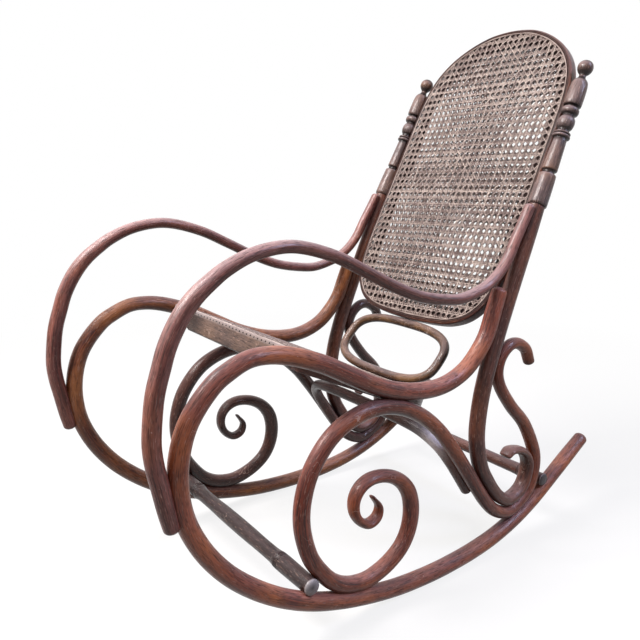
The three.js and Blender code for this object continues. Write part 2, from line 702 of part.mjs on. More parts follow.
function rearRoundedShape(inset, front) {
  const half = seatHalfWidth - inset;
  const radius = seatCornerRadius - inset;
  const rear = seatLength - inset;
  const shape = new THREE.Shape();
  shape.moveTo(half, front);
  shape.lineTo(half, rear - radius);
  shape.absarc(half - radius, rear - radius, radius, 0, Math.PI / 2);
  shape.absarc(radius - half, rear - radius, radius, Math.PI / 2, Math.PI);
  shape.lineTo(-half, front);
  return shape;
}

function roundedBoard(shape, depth) {
  const settings = {
    depth: depth - seatEdgeRadius * 2,
    bevelThickness: seatEdgeRadius,
    bevelSize: seatEdgeRadius,
    bevelOffset: -seatEdgeRadius,
    bevelSegments: 2,
    curveSegments: seatCurveSegments,
  };
  return new THREE.ExtrudeGeometry(shape, settings).translate(0, 0, seatEdgeRadius - depth);
}

function seatRim() {
  const shape = rearRoundedShape(0, frontRailThickness + touchGap);
  const inner = rearRoundedShape(seatRimWidth, frontRailThickness + touchGap).getPoints(seatCurveSegments);
  for (const point of inner.reverse()) shape.lineTo(point.x, point.y);
  return roundedBoard(shape, seatRimDepth);
}

function seatFrontRail() {
  const shape = new THREE.Shape();
  shape.moveTo(-seatHalfWidth, 0);
  shape.lineTo(seatHalfWidth, 0);
  shape.lineTo(seatHalfWidth, frontRailThickness);
  shape.lineTo(-seatHalfWidth, frontRailThickness);
  return roundedBoard(shape, frontRailDepth);
}

function seatCane(grow = 0) {
  const inset = seatRimWidth - seatCaneLap - grow;
  const shape = rearRoundedShape(inset, frontRailThickness - seatCaneLap - grow);
  const below = caneThickness + grow;
  const settings = { depth: below + grow, bevelEnabled: false, curveSegments: seatCurveSegments };
  return new THREE.ExtrudeGeometry(shape, settings).translate(0, 0, -below);
}

// The cane's windows, as a plain grid over the seat's free middle
function seatWindows() {
  const half = seatHalfWidth - seatRimWidth;
  const rear = seatLength - seatRimWidth;
  const radius = seatCornerRadius - seatRimWidth;
  const across = (half * 2) / seatWindowCount;
  const down = (rear - frontRailThickness) / seatWindowCount;
  const windows = [];
  for (let row = 0; row < seatWindowCount; row += 1) {
    for (let column = 0; column < seatWindowCount; column += 1) {
      const x = (column + 0.5) * across - half;
      const y = (row + 0.5) * down + frontRailThickness;
      const past = [Math.abs(x) + across / 2 - half + radius, y + down / 2 - rear + radius];
      if (Math.min(...past) > 0 && Math.hypot(...past) > radius) continue;
      const [width, length] = [across * seatWindowShare, down * seatWindowShare];
      const opening = new THREE.BoxGeometry(width, length, caneThickness * 3);
      windows.push(toSolid(opening.translate(x, y, -caneThickness / 2)));
    }
  }
  return windows;
}

// The tenons with which the rim's two ends enter the front rail
function seatTenons(grow = 0) {
  const reach = seatTenonLength * 2 + grow * 2;
  const tenon = new THREE.BoxGeometry(seatTenonWidth + grow * 2, reach, seatTenonDepth + grow * 2);
  tenon.translate(seatHalfWidth - seatRimWidth / 2, frontRailThickness, -seatRimDepth / 2);
  return bothSides(toSolid(tenon));
}

// Everything, put together

const inSide = sideScrewShares.map((place) => sideScrewSet(...place));
const back = backScrews();
const seatSides = seatScrews();
const ringSet = ringScrews();
const braceSet = braceScrews();
const frontPlace = onRocker(frontStretcherPlaceShare, frontStretcherRadius);
const rearPlace = onRocker(rearStretcherPlaceShare, rearStretcherRadius);
const stretcherSet = screwSet("stretcher_screw", [
  stretcherScrew(frontPlace, frontStretcherRadius),
  stretcherScrew(rearPlace, rearStretcherRadius),
]);
const turned = turnedPost();
const sideHoles = joined(inSide.map(({ holes }) => holes));

function cut(solid, ...cutters) {
  return cutters.reduce((left, cutter) => left.subtract(cutter), solid);
}

const railCutters = [sideHoles, seatSides.holes, stretcherSet.holes, floorCutter()];
const postCutters = [grownRail, grownScroll, footCutter(), postDowel(touchGap), sideHoles, back.holes];

addPair("rocker_rail", cut(bentRod(rail), ...railCutters), beech);
addPair("scroll", cut(bentRod(scroll), grownRail, sideHoles, braceSet.holes), beech);
addPair("rear_post", cut(bentRod(post), ...postCutters), beech);
addPair("armrest", cut(bentRod(arm), grownRail, grownPost, footCutter(), sideHoles), beech);
addPair("turned_post", cut(turned, postDowel(touchGap), back.holes), beech);

const hoopCutters = bothSides(joined([grownPost, turnedPost(touchGap), back.holes])).add(ringSet.holes);
addMesh("back_hoop", toGeometry(cut(toSolid(hoop()), seenFrom(backFrame, hoopCutters))), beech, backFrame);
const backCaneFront = addMesh("back_cane_front", backCane(), caneColour, backFrame);
const backCaneRear = addMesh("back_cane_rear", backCane(), caneColour, backFrame);
backCaneFront.position.z = hoopMiddle + hoopDepth / 2 - caneThickness + touchGap;
backCaneRear.position.z = hoopMiddle - hoopDepth / 2 - touchGap;

const ringHoles = seenFrom(ringFrame, ringSet.holes);
addMesh("oval_ring", toGeometry(cut(toSolid(ring()), ringHoles)), beech, ringFrame);

const seatCutters = [
  seenFrom(seatFrame, bothSides(grownRail)),
  seenFrom(seatFrame, bothSides(seatSides.holes).add(ringSet.holes)),
  toSolid(seatCane(touchGap)),
];
const rim = cut(toSolid(seatRim()), ...seatCutters).add(seatTenons());
const frontRail = cut(toSolid(seatFrontRail()), ...seatCutters, seatTenons(touchGap));
addMesh("seat_rim", toGeometry(rim), beech, seatFrame);
addMesh("seat_front_rail", toGeometry(frontRail), beechLight, seatFrame);
addMesh("seat_cane", toGeometry(cut(toSolid(seatCane()), ...seatWindows())), caneColour, seatFrame);

addMesh("arch_brace", toGeometry(cut(brace(), bothSides(grownScroll.add(braceSet.holes)))), beech);
for (const [name, shares, radius, place] of [
  ["front_stretcher", frontStretcherShares, frontStretcherRadius, frontPlace],
  ["rear_stretcher", rearStretcherShares, rearStretcherRadius, rearPlace],
]) {
  const bar = stretcher(shares, radius).translate(0, place.centre.y, place.centre.z);
  const cutters = bothSides(grownRail.add(grownScroll).add(stretcherSet.holes));
  addMesh(name, toGeometry(cut(toSolid(bar), cutters)), beech);
}

addPair("post_dowel", postDowel(), beechLight);
for (const { name, screws } of [...inSide, back, seatSides, braceSet, stretcherSet]) {
  screws.forEach((screw, i) => {
    const number = screws.length > 1 ? `_${i + 1}` : "";
    addPair(`${name}${number}`, toSolid(screw), steel);
  });
}
ringSet.screws.forEach((screw, i) => addMesh(`ring_screw_${i + 1}`, screw, steel));

export default chair;
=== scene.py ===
import math

import bmesh
import bpy
import numpy as np
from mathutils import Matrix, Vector


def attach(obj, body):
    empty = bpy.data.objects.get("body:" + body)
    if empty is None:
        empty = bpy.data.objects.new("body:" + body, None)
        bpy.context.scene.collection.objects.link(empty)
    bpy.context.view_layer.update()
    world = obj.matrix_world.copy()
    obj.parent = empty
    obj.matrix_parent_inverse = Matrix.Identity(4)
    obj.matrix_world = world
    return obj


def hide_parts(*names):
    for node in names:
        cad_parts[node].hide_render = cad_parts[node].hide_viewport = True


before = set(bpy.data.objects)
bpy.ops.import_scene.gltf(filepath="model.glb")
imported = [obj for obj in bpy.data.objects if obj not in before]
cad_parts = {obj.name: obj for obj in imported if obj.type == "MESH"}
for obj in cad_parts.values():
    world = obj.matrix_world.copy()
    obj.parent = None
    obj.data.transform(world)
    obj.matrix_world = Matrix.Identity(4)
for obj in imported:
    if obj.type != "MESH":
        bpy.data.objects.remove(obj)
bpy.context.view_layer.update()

# The room: a pale matt floor under the chair and a plain white surround. One wide lamp stands high in
# front of the chair, and a narrow, cooler one behind it on the sitter's left.
scene = bpy.context.scene
scene.view_settings.view_transform = "Standard"


def linear(hex_colour):
    """An sRGB colour as six hex digits, turned to linear RGBA."""
    parts = [int(hex_colour[i:i + 2], 16) / 255 for i in (0, 2, 4)]
    return [v / 12.92 if v <= 0.04045 else ((v + 0.055) / 1.055) ** 2.4 for v in parts] + [1]


def add_node(tree, kind, inputs=None, **settings):
    """A new node, with its settings and with each input set to a value or linked to a socket."""
    node = tree.nodes.new(kind)
    for name, value in settings.items():
        setattr(node, name, value)
    for name, value in (inputs or {}).items():
        if isinstance(value, bpy.types.NodeSocket):
            tree.links.new(value, node.inputs[name])
        else:
            node.inputs[name].default_value = value
    return node


def maths(tree, operation, *values):
    """The result of one sum on values or sockets."""
    return add_node(tree, "ShaderNodeMath", dict(enumerate(values)), operation=operation).outputs[0]


def ramped(tree, value, low, high, start=0.0, stop=1.0):
    """The value stretched so that low to high becomes start to stop."""
    inputs = {"Value": value, "From Min": low, "From Max": high, "To Min": start, "To Max": stop}
    return add_node(tree, "ShaderNodeMapRange", inputs).outputs[0]


def blended(tree, share, first, second):
    """The first shader, giving way to the second by the share."""
    inputs = {0: share, 1: first.outputs[0], 2: second.outputs[0]}
    return add_node(tree, "ShaderNodeMixShader", inputs)


def new_material(name):
    """A material with an empty node tree, and that tree."""
    material = bpy.data.materials.new(name)
    material.use_nodes = True
    material.node_tree.nodes.clear()
    return material, material.node_tree


def seen_share(tree):
    """1 for the rays that show a thing, straight or in a reflection, and 0 for those that light."""
    paths = add_node(tree, "ShaderNodeLightPath").outputs
    direct = maths(tree, "MAXIMUM", paths["Is Camera Ray"], paths["Is Transmission Ray"])
    return maths(tree, "MAXIMUM", direct, paths["Is Glossy Ray"])


camera_place = Vector((1.084, -0.8499, 0.8207))
camera_aim = Vector((-0.784, 0.575, -0.234))
camera_data = bpy.data.cameras.new("camera")
camera_data.sensor_width = 36
camera_data.lens = 38.25
camera = bpy.data.objects.new("camera", camera_data)
camera.location = camera_place
camera.rotation_euler = camera_aim.to_track_quat("-Z", "Y").to_euler()
scene.collection.objects.link(camera)
scene.camera = camera

fill_strength = 0.28
world = bpy.data.worlds.new("overcast surround")
world.use_nodes = True
sky = world.node_tree
sky.nodes.clear()
soft_fill = add_node(sky, "ShaderNodeBackground", {"Color": linear("f4e4dc"), "Strength": fill_strength})
white = add_node(sky, "ShaderNodeBackground", {"Color": linear("ffffff"), "Strength": 1.0})
surround = blended(sky, seen_share(sky), soft_fill, white)
add_node(sky, "ShaderNodeOutputWorld", {"Surface": surround.outputs[0]})
scene.world = world

lamps = {
    # name: place, point it shines at, width and height, watts, colour
    "sky lamp": ((-0.5, -1.7, 2.8), (0, 0, 0.5), (1.3, 1.3), 168, "fffaf8"),
    "window lamp": ((1.9, 1.2, 2.3), (0, 0.1, 0.5), (0.4, 1.2), 46, "d0d8ff"),
}
for name, (place, aim, size, watts, colour) in lamps.items():
    lamp = bpy.data.lights.new(name, "AREA")
    lamp.shape = "RECTANGLE"
    lamp.size, lamp.size_y = size
    lamp.energy = watts
    lamp.color = linear(colour)[:3]
    holder = bpy.data.objects.new(name, lamp)
    holder.location = place
    holder.rotation_euler = (Vector(aim) - Vector(place)).to_track_quat("-Z", "Y").to_euler()
    scene.collection.objects.link(holder)

# the floor melts into the white surround with the distance from the chair's middle
floor_half = 6
floor_middle = (-0.1, 0.1, 0)
floor_near, floor_far = 0.7, 2.2
floor_near_glow = 0.82
floor_data = bpy.data.meshes.new("floor")
floor_corners = [(x * floor_half, y * floor_half, 0) for x, y in ((-1, -1), (1, -1), (1, 1), (-1, 1))]
floor_data.from_pydata(floor_corners, [], [(0, 1, 2, 3)])
floor = bpy.data.objects.new("floor", floor_data)
scene.collection.objects.link(floor)
floor_paint, paint = new_material("matt white floor paint")
floor_white = add_node(paint, "ShaderNodeBsdfDiffuse", {"Color": linear("f6f5f4")})
floor_glow = add_node(paint, "ShaderNodeEmission", {"Color": linear("ffffff"), "Strength": 1.0})
floor_spot = add_node(paint, "ShaderNodeNewGeometry").outputs["Position"]
floor_away = add_node(paint, "ShaderNodeVectorMath", {0: floor_spot, 1: floor_middle}, operation="DISTANCE")
floor_fade = ramped(paint, floor_away.outputs["Value"], floor_near, floor_far, floor_near_glow, 1.0)
floor_bright = blended(paint, floor_fade, floor_white, floor_glow)
# the light that the floor throws back on the chair is duller than what the camera sees of it
floor_dull = add_node(paint, "ShaderNodeBsdfDiffuse", {"Color": linear("8c8884")})
floor_shader = blended(paint, seen_share(paint), floor_dull, floor_bright)
add_node(paint, "ShaderNodeOutputMaterial", {"Surface": floor_shader.outputs[0]})
floor_data.materials.append(floor_paint)


# Rocker and seat rail, one on each side: a straight beech blank, turned round, steamed soft and bent
# in an iron mould into the rocker, up round the front and back along the seat to the rear post. The
# floor has worn a flat where it stands. The rails' places are shares of a side outline 1 m long.
rail_radius = 0.0165
floor_spread = 0.250
top_spread = 0.225
origin_shift = 0.0151
rocker_low = 0.016
wear_depth = 0.0008
ring_step = 0.004
rod_sides = 28
cap_reach = 0.66  # a rod's rounded end, as a share of its thickness there
cap_fullness = 0.9
cap_rings = 7
curve_steps = 24
# depth and height, and where they change, thickness in the frame's plane and breadth across it
rail_shares = [
    [0.193, 0.5615, 0.94, 0.94], [0.188, 0.5495, 0.96, 0.96], [0.1768, 0.522, 0.97, 1],
    [0.1589, 0.4793, 0.98], [0.133, 0.447], [0.104, 0.423], [0.07, 0.408], [0.034, 0.401],
    [-0.01, 0.402], [-0.06, 0.411], [-0.123, 0.433], [-0.183, 0.464], [-0.243, 0.496, 0.96],
    [-0.307, 0.52, 0.92, 0.96], [-0.345, 0.527, 0.86, 0.94], [-0.378, 0.526, 0.85],
    [-0.412, 0.513, 0.88], [-0.437, 0.498, 0.9, 0.95], [-0.48, 0.447, 0.94, 0.96],
    [-0.499, 0.382, 0.96, 1], [-0.495, 0.313], [-0.471, 0.251, 0.97], [-0.432, 0.194, 0.98],
    [-0.383, 0.146, 1], [-0.328, 0.106], [-0.267, 0.074], [-0.203, 0.051], [-0.136, 0.034],
    [-0.069, 0.0225], [0, 0.017], [0.04, 0.016], [0.08, 0.017], [0.134, 0.0205],
    [0.202, 0.0305, 0.97], [0.267, 0.0485, 0.94], [0.329, 0.0745, 0.93], [0.389, 0.108],
    [0.448, 0.143], [0.507, 0.177, 0.91, 0.93],
]


def side_spread(z):
    """How far the left side's plane stands from the middle: it leans in towards the top."""
    return floor_spread + (top_spread - floor_spread) * z


def side_point(depth, height):
    """A place on the left side's plane."""
    z = height - rocker_low + rail_radius - wear_depth
    return [side_spread(z), depth + origin_shift, z]


def outline_rows(shares, radius):
    """The outline's points, each with the rod's half thickness and half breadth there."""
    rows = []
    sizes = [1, 1]
    for depth, height, *changed in shares:
        sizes = changed + sizes[len(changed):]
        rows.append(side_point(depth, height) + [radius * size for size in sizes])
    return rows


def smooth_through(rows, closed=False):
    """A centripetal curve through the rows. What follows the first three numbers goes along with it."""
    rows = np.asarray(rows, float)
    if closed:
        around = np.vstack([rows[-1], rows, rows[:2]])
    else:
        around = np.vstack([2 * rows[0] - rows[1], rows, 2 * rows[-1] - rows[-2]])
    gaps = np.linalg.norm(np.diff(around[:, :3], axis=0), axis=1) ** 0.5
    t = np.linspace(0, 1, curve_steps, endpoint=False)[:, None]
    spans = []
    for i in range(1, len(around) - 2):
        a, b, c, d = around[i - 1:i + 3]
        before, here, after = gaps[i - 1:i + 2]
        leave = ((b - a) / before - (c - a) / (before + here) + (c - b) / here) * here
        reach = ((c - b) / here - (d - b) / (here + after) + (d - c) / after) * here
        square = 3 * (c - b) - 2 * leave - reach
        cube = 2 * (b - c) + leave + reach
        spans.append(b + leave * t + square * t**2 + cube * t**3)
    line = np.vstack(spans)
    return line if closed else np.vstack([line, rows[-1]])


def distances(line):
    """How far along the line each of its points lies."""
    steps = np.linalg.norm(np.diff(line[:, :3], axis=0), axis=1)
    return np.concatenate([[0], np.cumsum(steps)])


def evenly(line, step, closed=False):
    """The same line with its points one even step apart."""
    if closed:
        line = np.vstack([line, line[:1]])
    along = distances(line)
    places = np.linspace(0, along[-1], round(along[-1] / step) + 1)
    even = np.stack([np.interp(places, along, column) for column in line.T], axis=1)
    return even[:-1] if closed else even


def even_curve(rows, step, closed=False):
    """A smooth curve through the rows, its points one even step apart."""
    return evenly(smooth_through(rows, closed), step, closed)


def unit(vectors):
    """The vectors, each with a length of 1."""
    return vectors / np.linalg.norm(vectors, axis=-1, keepdims=True)


def tube(corners, across, upright, along, closed=False):
    """A mesh from rings of corners, with a face over each end or closed to a ring: its corners, its faces
    and its blank places. A blank place is where a corner lay in the straight blank, so that the grain
    bends with the piece."""
    rings, around = corners.shape[:2]
    i = np.arange(rings if closed else rings - 1)[:, None]
    j = np.arange(around)[None, :]
    near, far = i * around, (i + 1) % rings * around
    following = (j + 1) % around
    faces = np.broadcast_arrays(near + j, near + following, far + following, far + j)
    faces = np.stack(faces, axis=-1).reshape(-1, 4).tolist()
    if not closed:
        last = rings * around - around
        faces += [list(range(around)), list(range(last, last + around))]
    blank = np.stack(np.broadcast_arrays(across, upright, along), axis=-1)
    return corners.reshape(-1, 3), faces, blank.reshape(-1, 3)


def rod_mesh(rows, side_axis=(1, 0, 0)):
    """A bent rod with rounded ends."""
    line = even_curve(rows, ring_step)
    way = unit(np.gradient(line[:, :3], axis=0))
    along = np.arange(len(line)) * ring_step
    turns = np.linspace(0, math.pi / 2, cap_rings + 1)[1:]
    turns[-1] *= 0.99  # the last ring stops short of a point
    ends = []
    for end, sign in ((0, -1), (-1, 1)):
        cap = line[np.full(len(turns), end)]
        reach = line[end, 3] * cap_reach * np.sin(turns)[:, None]
        cap[:, :3] += sign * way[end] * reach
        cap[:, 3:] *= np.cos(turns)[:, None] ** cap_fullness
        ends.append((cap, np.tile(way[end], (len(turns), 1)), along[end] + sign * reach[:, 0]))
    (start, start_way, start_along), (stop, stop_way, stop_along) = ends
    line = np.vstack([start[::-1], line, stop])
    way = np.vstack([start_way[::-1], way, stop_way])
    along = np.concatenate([start_along[::-1], along, stop_along])
    axis = np.array(side_axis, float)
    side = unit(axis - way * (way @ axis)[:, None])
    in_plane = np.cross(side, way)
    angles = np.arange(rod_sides) / rod_sides * math.tau
    across = np.cos(angles) * line[:, 4:5]
    upright = np.sin(angles) * line[:, 3:4]
    corners = line[:, None, :3] + side[:, None] * across[..., None] + in_plane[:, None] * upright[..., None]
    return tube(corners, across, upright, along[:, None])


piece_count = 0
log_offset = np.array([0.31, 0.17, 0.73])


def reshaped(data, change=None):
    """Makes the change to a mesh, and turns all its faces outward."""
    shell = bmesh.new()
    shell.from_mesh(data)
    if change:
        change(shell)
    bmesh.ops.recalc_face_normals(shell, faces=shell.faces)
    shell.to_mesh(data)
    shell.free()


def make_piece(name, mesh, material, nodes, right=False, tone=None, bare_and_glint=None):
    """A piece of the chair from its corners, faces and blank places. A right piece is the mirrored left one.
    Tone is a strand's own shade, with painted light on its crown and painted shade at its edges, and on wood
    it darkens, with dirt and with painted shade. Bare is where wood has lost its stain, and on the brace a
    painted highlight."""
    global piece_count
    piece_count += 1
    corners, faces, blank = mesh
    corners = np.array(corners, float)
    if right:
        corners[:, 0] *= -1
    data = bpy.data.meshes.new(name)
    data.from_pydata(corners.tolist(), [], faces)
    places = data.attributes.new("blank", "FLOAT_VECTOR", "POINT")
    own_log = log_offset * piece_count
    places.data.foreach_set("vector", (np.asarray(blank, float) + own_log).astype(np.float32).ravel())
    for label, values in (("tone", tone), ("bare_and_glint", bare_and_glint)):
        if values is not None:
            places = data.attributes.new(label, "FLOAT", "POINT")
            places.data.foreach_set("value", np.asarray(values, np.float32))
    reshaped(data)
    data.polygons.foreach_set("use_smooth", np.ones(len(data.polygons), bool))
    data.materials.append(material)
    piece = bpy.data.objects.new(name, data)
    scene.collection.objects.link(piece)
    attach(piece, "root")
    if nodes:
        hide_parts(*nodes)
    return piece


# Steam-bent beech under a reddish brown stain and old varnish. Fine streaks and short dark flecks run
# along the blank, the stain has rubbed through to a warmer brown in places, and the varnish is glossy
# where it is whole and duller where hands and shoes have worn it.
def mixed(tree, amount, under, over):
    """The over colour laid on the under colour by the amount."""
    inputs = {0: amount, 6: under, 7: over}
    return add_node(tree, "ShaderNodeMix", inputs, data_type="RGBA").outputs[2]


def noise(tree, place, scale, detail):
    """Soft random blotches. A scale of three numbers stretches them."""
    if isinstance(scale, tuple):
        place = add_node(tree, "ShaderNodeMapping", {"Vector": place, "Scale": scale}).outputs[0]
        scale = 1.0
    inputs = {"Vector": place, "Scale": scale, "Detail": detail}
    return add_node(tree, "ShaderNodeTexNoise", inputs).outputs["Fac"]


def attribute(tree, name, kind="Fac"):
    """What the mesh says at each corner under this name."""
    return add_node(tree, "ShaderNodeAttribute", attribute_name=name).outputs[kind]


def surfaced(tree, inputs):
    """Ends a material with a shader of these inputs."""
    shader = add_node(tree, "ShaderNodeBsdfPrincipled", inputs)
    add_node(tree, "ShaderNodeOutputMaterial", {"Surface": shader.outputs[0]})


def stained_beech(name, deep, middle, pale, worn, wear=0.5, fading_and_sheen=0.25, gloss=0.3):
    """The colours run from the stain's darkest to where it has rubbed through. Wear says how much of that
    there is, fading how far upward faces pale, partly faded stain and partly a painted sheen of the light
    from above, and gloss is the varnish's roughness."""
    material, tree = new_material(name)
    blank = attribute(tree, "blank", "Vector")
    dirt_and_shade = attribute(tree, "tone")
    stain_loss_and_glint = attribute(tree, "bare_and_glint")
    surface = add_node(tree, "ShaderNodeNewGeometry").outputs
    facing = add_node(tree, "ShaderNodeSeparateXYZ", {0: surface["Normal"]}).outputs["Z"]

    def grain(width_mm, length_mm, detail=2.0):
        return noise(tree, blank, (1000 / width_mm, 1000 / width_mm, 1000 / length_mm), detail)

    def scaled(value, by):
        return maths(tree, "MULTIPLY", value, by)

    def ramp(value, low, high):
        return ramped(tree, value, low, high)

    streaks = ramp(grain(2.6, 75, 3.0), 0.36, 0.64)
    figure = ramp(grain(14, 150), 0.40, 0.62)
    # the flecks of beech are 0.3 mm wide and the pores finer still; both are drawn coarser, to show
    flecks = ramp(grain(1.5, 16), 0.54, 0.68)
    rays = ramp(grain(1.6, 14), 0.60, 0.72)
    rubbed = scaled(ramp(noise(tree, surface["Position"], 8.0, 3.0), 0.46, 0.64), wear)
    scuffs = ramp(grain(3, 4, 3.0), 0.71, 0.75)
    # upward faces pale towards grey: partly faded stain, partly a painted sheen of the light from above
    faded_and_sheen = scaled(ramp(facing, 0.2, 1.0), fading_and_sheen)
    # downward faces darken: painted shade
    painted_underside_shade = scaled(ramp(facing, 0.15, -0.7), 0.68)
    mottle = scaled(ramp(grain(7, 22, 4.0), 0.5, 0.68), 0.45)
    # scratches are thin lines where a slow noise passes its middle, in a few places only
    wander = maths(tree, "ABSOLUTE", maths(tree, "ADD", grain(16, 26, 1.0), -0.5))
    few = ramp(grain(60, 90, 1.0), 0.62, 0.66)
    scratches = maths(tree, "MULTIPLY", ramp(wander, 0.007, 0.002), few)

    colour = mixed(tree, streaks, linear(deep), linear(middle))
    # how much of it, and its colour, laid on in this order
    # among these: a painted sheen on upward faces, painted shade on downward ones, a pale share for bare
    # wood
    # that is a painted highlight on the brace, and a dark tone that is dirt in places and painted shade in
    # others
    for amount, tint in (
        (scaled(figure, 0.5), pale), (rubbed, worn), (mottle, deep), (faded_and_sheen, "b8a4a6"),
        (scaled(rays, 0.35), "c8a494"), (scaled(flecks, 0.65), "1e0c09"), (scaled(scuffs, 0.5), "d8bfb2"),
        (painted_underside_shade, "1c0904"), (scaled(scratches, 0.45), "d8bcae"), (scaled(stain_loss_and_glint, 0.9), "e8e2e4"),
        (scaled(dirt_and_shade, 0.92), "170a08"),
    ):
        colour = mixed(tree, amount, colour, linear(tint))

    dulled = maths(tree, "MULTIPLY_ADD", rubbed, 0.12, gloss)
    rough = maths(tree, "MULTIPLY_ADD", flecks, 0.25, dulled)
    relief = maths(tree, "MULTIPLY_ADD", flecks, -1.0, streaks)
    bump = add_node(tree, "ShaderNodeBump", {"Height": relief, "Strength": 0.5, "Distance": 0.0004})
    surfaced(tree, {
        "Base Color": colour, "Roughness": rough, "Normal": bump.outputs[0],
        "IOR": 1.5, "Coat Weight": 0.05, "Coat Roughness": 0.16, "Specular IOR Level": 0.26,
    })
    return material


warm_beech = stained_beech(
    "steam-bent beech, worn warm", "3c100a", "8a402c", "ae6650", "b86c40", wear=0.7)
orange_beech = stained_beech(
    "steam-bent beech, worn to orange", "3e180c", "824328", "a2663e", "aa6c3c", wear=0.75)
both_sides = (("left", False), ("right", True))
for (side, right), finish in zip(both_sides, (warm_beech, orange_beech)):
    corners, faces, blank = rod_mesh(outline_rows(rail_shares, rail_radius))
    corners[:, 2] = np.maximum(corners[:, 2], 0)
    make_piece(f"bent_rail_{side}", (corners, faces, blank), finish,
               [f"rocker_rail_{side}"], right)


# Scroll, one on each side: a thinner beech rod, tapered at both ends, bent into the inner curl and the
# big loop, laid down on the rocker and brought up behind the rear post to a hook.
scroll_radius = 0.015
hook_dirt_reach = 0.05
scroll_shares = [
    [-0.132, 0.227, 0.22, 0.62], [-0.1175, 0.204, 0.4, 0.74], [-0.1235, 0.186, 0.52, 0.82],
    [-0.143, 0.179, 0.56, 0.88], [-0.164, 0.192, 0.56, 0.92], [-0.1755, 0.214, 0.58, 0.95],
    [-0.174, 0.238, 0.6, 0.97], [-0.161, 0.255, 0.66, 0.98], [-0.138, 0.264, 0.72, 1],
    [-0.103, 0.26, 0.8], [-0.07, 0.243, 0.9], [-0.047, 0.216, 1.02], [-0.038, 0.187, 1.06, 1.02],
    [-0.038, 0.158], [-0.046, 0.129, 1.03, 1], [-0.061, 0.106, 1], [-0.086, 0.087], [-0.119, 0.0735],
    [-0.15, 0.0685], [-0.192, 0.0765], [-0.225, 0.096], [-0.251, 0.126], [-0.269, 0.155],
    [-0.281, 0.19], [-0.287, 0.23], [-0.283, 0.27], [-0.265, 0.317], [-0.22, 0.367], [-0.155, 0.392],
    [-0.087, 0.3885], [-0.023, 0.36, 0.97], [0.03, 0.317, 0.95, 0.95], [0.074, 0.264], [0.115, 0.207],
    [0.155, 0.15], [0.176, 0.122, 0.94], [0.203, 0.095], [0.231, 0.0795, 0.93], [0.254, 0.0755],
    [0.276, 0.083], [0.297, 0.093], [0.312, 0.104], [0.323, 0.12], [0.33, 0.138], [0.334, 0.16],
    [0.333, 0.182], [0.325, 0.207], [0.291, 0.267, 0.9, 0.93], [0.242, 0.319, 0.86, 0.9],
    [0.205, 0.37, 0.82, 0.87], [0.197, 0.398, 0.8, 0.86], [0.2025, 0.422], [0.215, 0.438],
    [0.234, 0.449], [0.254, 0.449], [0.272, 0.441], [0.285, 0.43, 0.79, 0.85], [0.297, 0.404, 0.76, 0.82],
]
red_beech = stained_beech("steam-bent beech, red", "380f08", "7c3520", "9e553e", "ac6038", wear=0.6)
dark_beech = stained_beech(
    "steam-bent beech, nearly black", "220c08", "4a261e", "6a4034", "5a3424",
    wear=0.4, fading_and_sheen=0.15, gloss=0.2,
)
for (side, right), finish in zip(both_sides, (red_beech, dark_beech)):
    corners, faces, blank = rod_mesh(outline_rows(scroll_shares, scroll_radius))
    # dirt has gathered on the hook, the rod's far end
    from_hook = (blank[:, 2].max() - blank[:, 2]) / hook_dirt_reach
    make_piece(f"bent_scroll_{side}", (corners, faces, blank), finish,
               [f"scroll_{side}"], right, tone=np.clip(0.75 - from_hook, 0, 1))


# Rear post, one on each side: a thick beech rod with its foot bent into a tapering curl. Its top is sawn
# square under the turned post, which stands on it with a dowel inside the joint.
post_radius = 0.0165
post_lean = math.radians(26.6)
joint_gap = 0.0003
post_shares = [
    [0.297, 0.725], [0.271, 0.662], [0.244, 0.6], [0.217, 0.537], [0.191, 0.474], [0.167, 0.41],
    [0.149, 0.344], [0.142, 0.276], [0.15, 0.225], [0.16, 0.197, 0.95], [0.178, 0.168, 0.91],
    [0.196, 0.143, 0.88], [0.217, 0.121, 0.85], [0.243, 0.105, 0.79], [0.27, 0.108, 0.76],
    [0.293, 0.122, 0.71], [0.306, 0.147, 0.68], [0.309, 0.176, 0.64], [0.294, 0.2, 0.58],
    [0.268, 0.213, 0.52], [0.247, 0.215, 0.48], [0.236, 0.208, 0.42, 0.9],
]
joint = np.array(side_point(*post_shares[0][:2]))
side_lean = (top_spread - floor_spread) * math.cos(post_lean)
post_way = unit(np.array([side_lean, math.sin(post_lean), math.cos(post_lean)]))


def sawn_rods(name, shares, radius, finish, node):
    """A bent rod on each side, sawn off level with the joint and closed there."""
    for side, right in both_sides:
        rod = rod_mesh(outline_rows(shares, radius))
        piece = make_piece(f"{name}_{side}", rod, finish, [f"{node}_{side}"], right)
        flip = np.array([-1 if right else 1, 1, 1])
        plane = {
            "plane_co": Vector((joint - post_way * joint_gap) * flip),
            "plane_no": Vector(post_way * flip),
        }

        def saw(shell):
            geometry = shell.verts[:] + shell.edges[:] + shell.faces[:]
            cut = bmesh.ops.bisect_plane(shell, geom=geometry, clear_outer=True, **plane)
            edges = [e for e in cut["geom_cut"] if isinstance(e, bmesh.types.BMEdge)]
            for face in bmesh.ops.edgeloop_fill(shell, edges=edges)["faces"]:
                face.smooth = False

        reshaped(piece.data, saw)


brown_beech = stained_beech("steam-bent beech, brown", "2a100e", "5a3028", "7c4c3e", "8a543a", wear=0.5)
sawn_rods("bent_post", post_shares, post_radius, brown_beech, "rear_post")


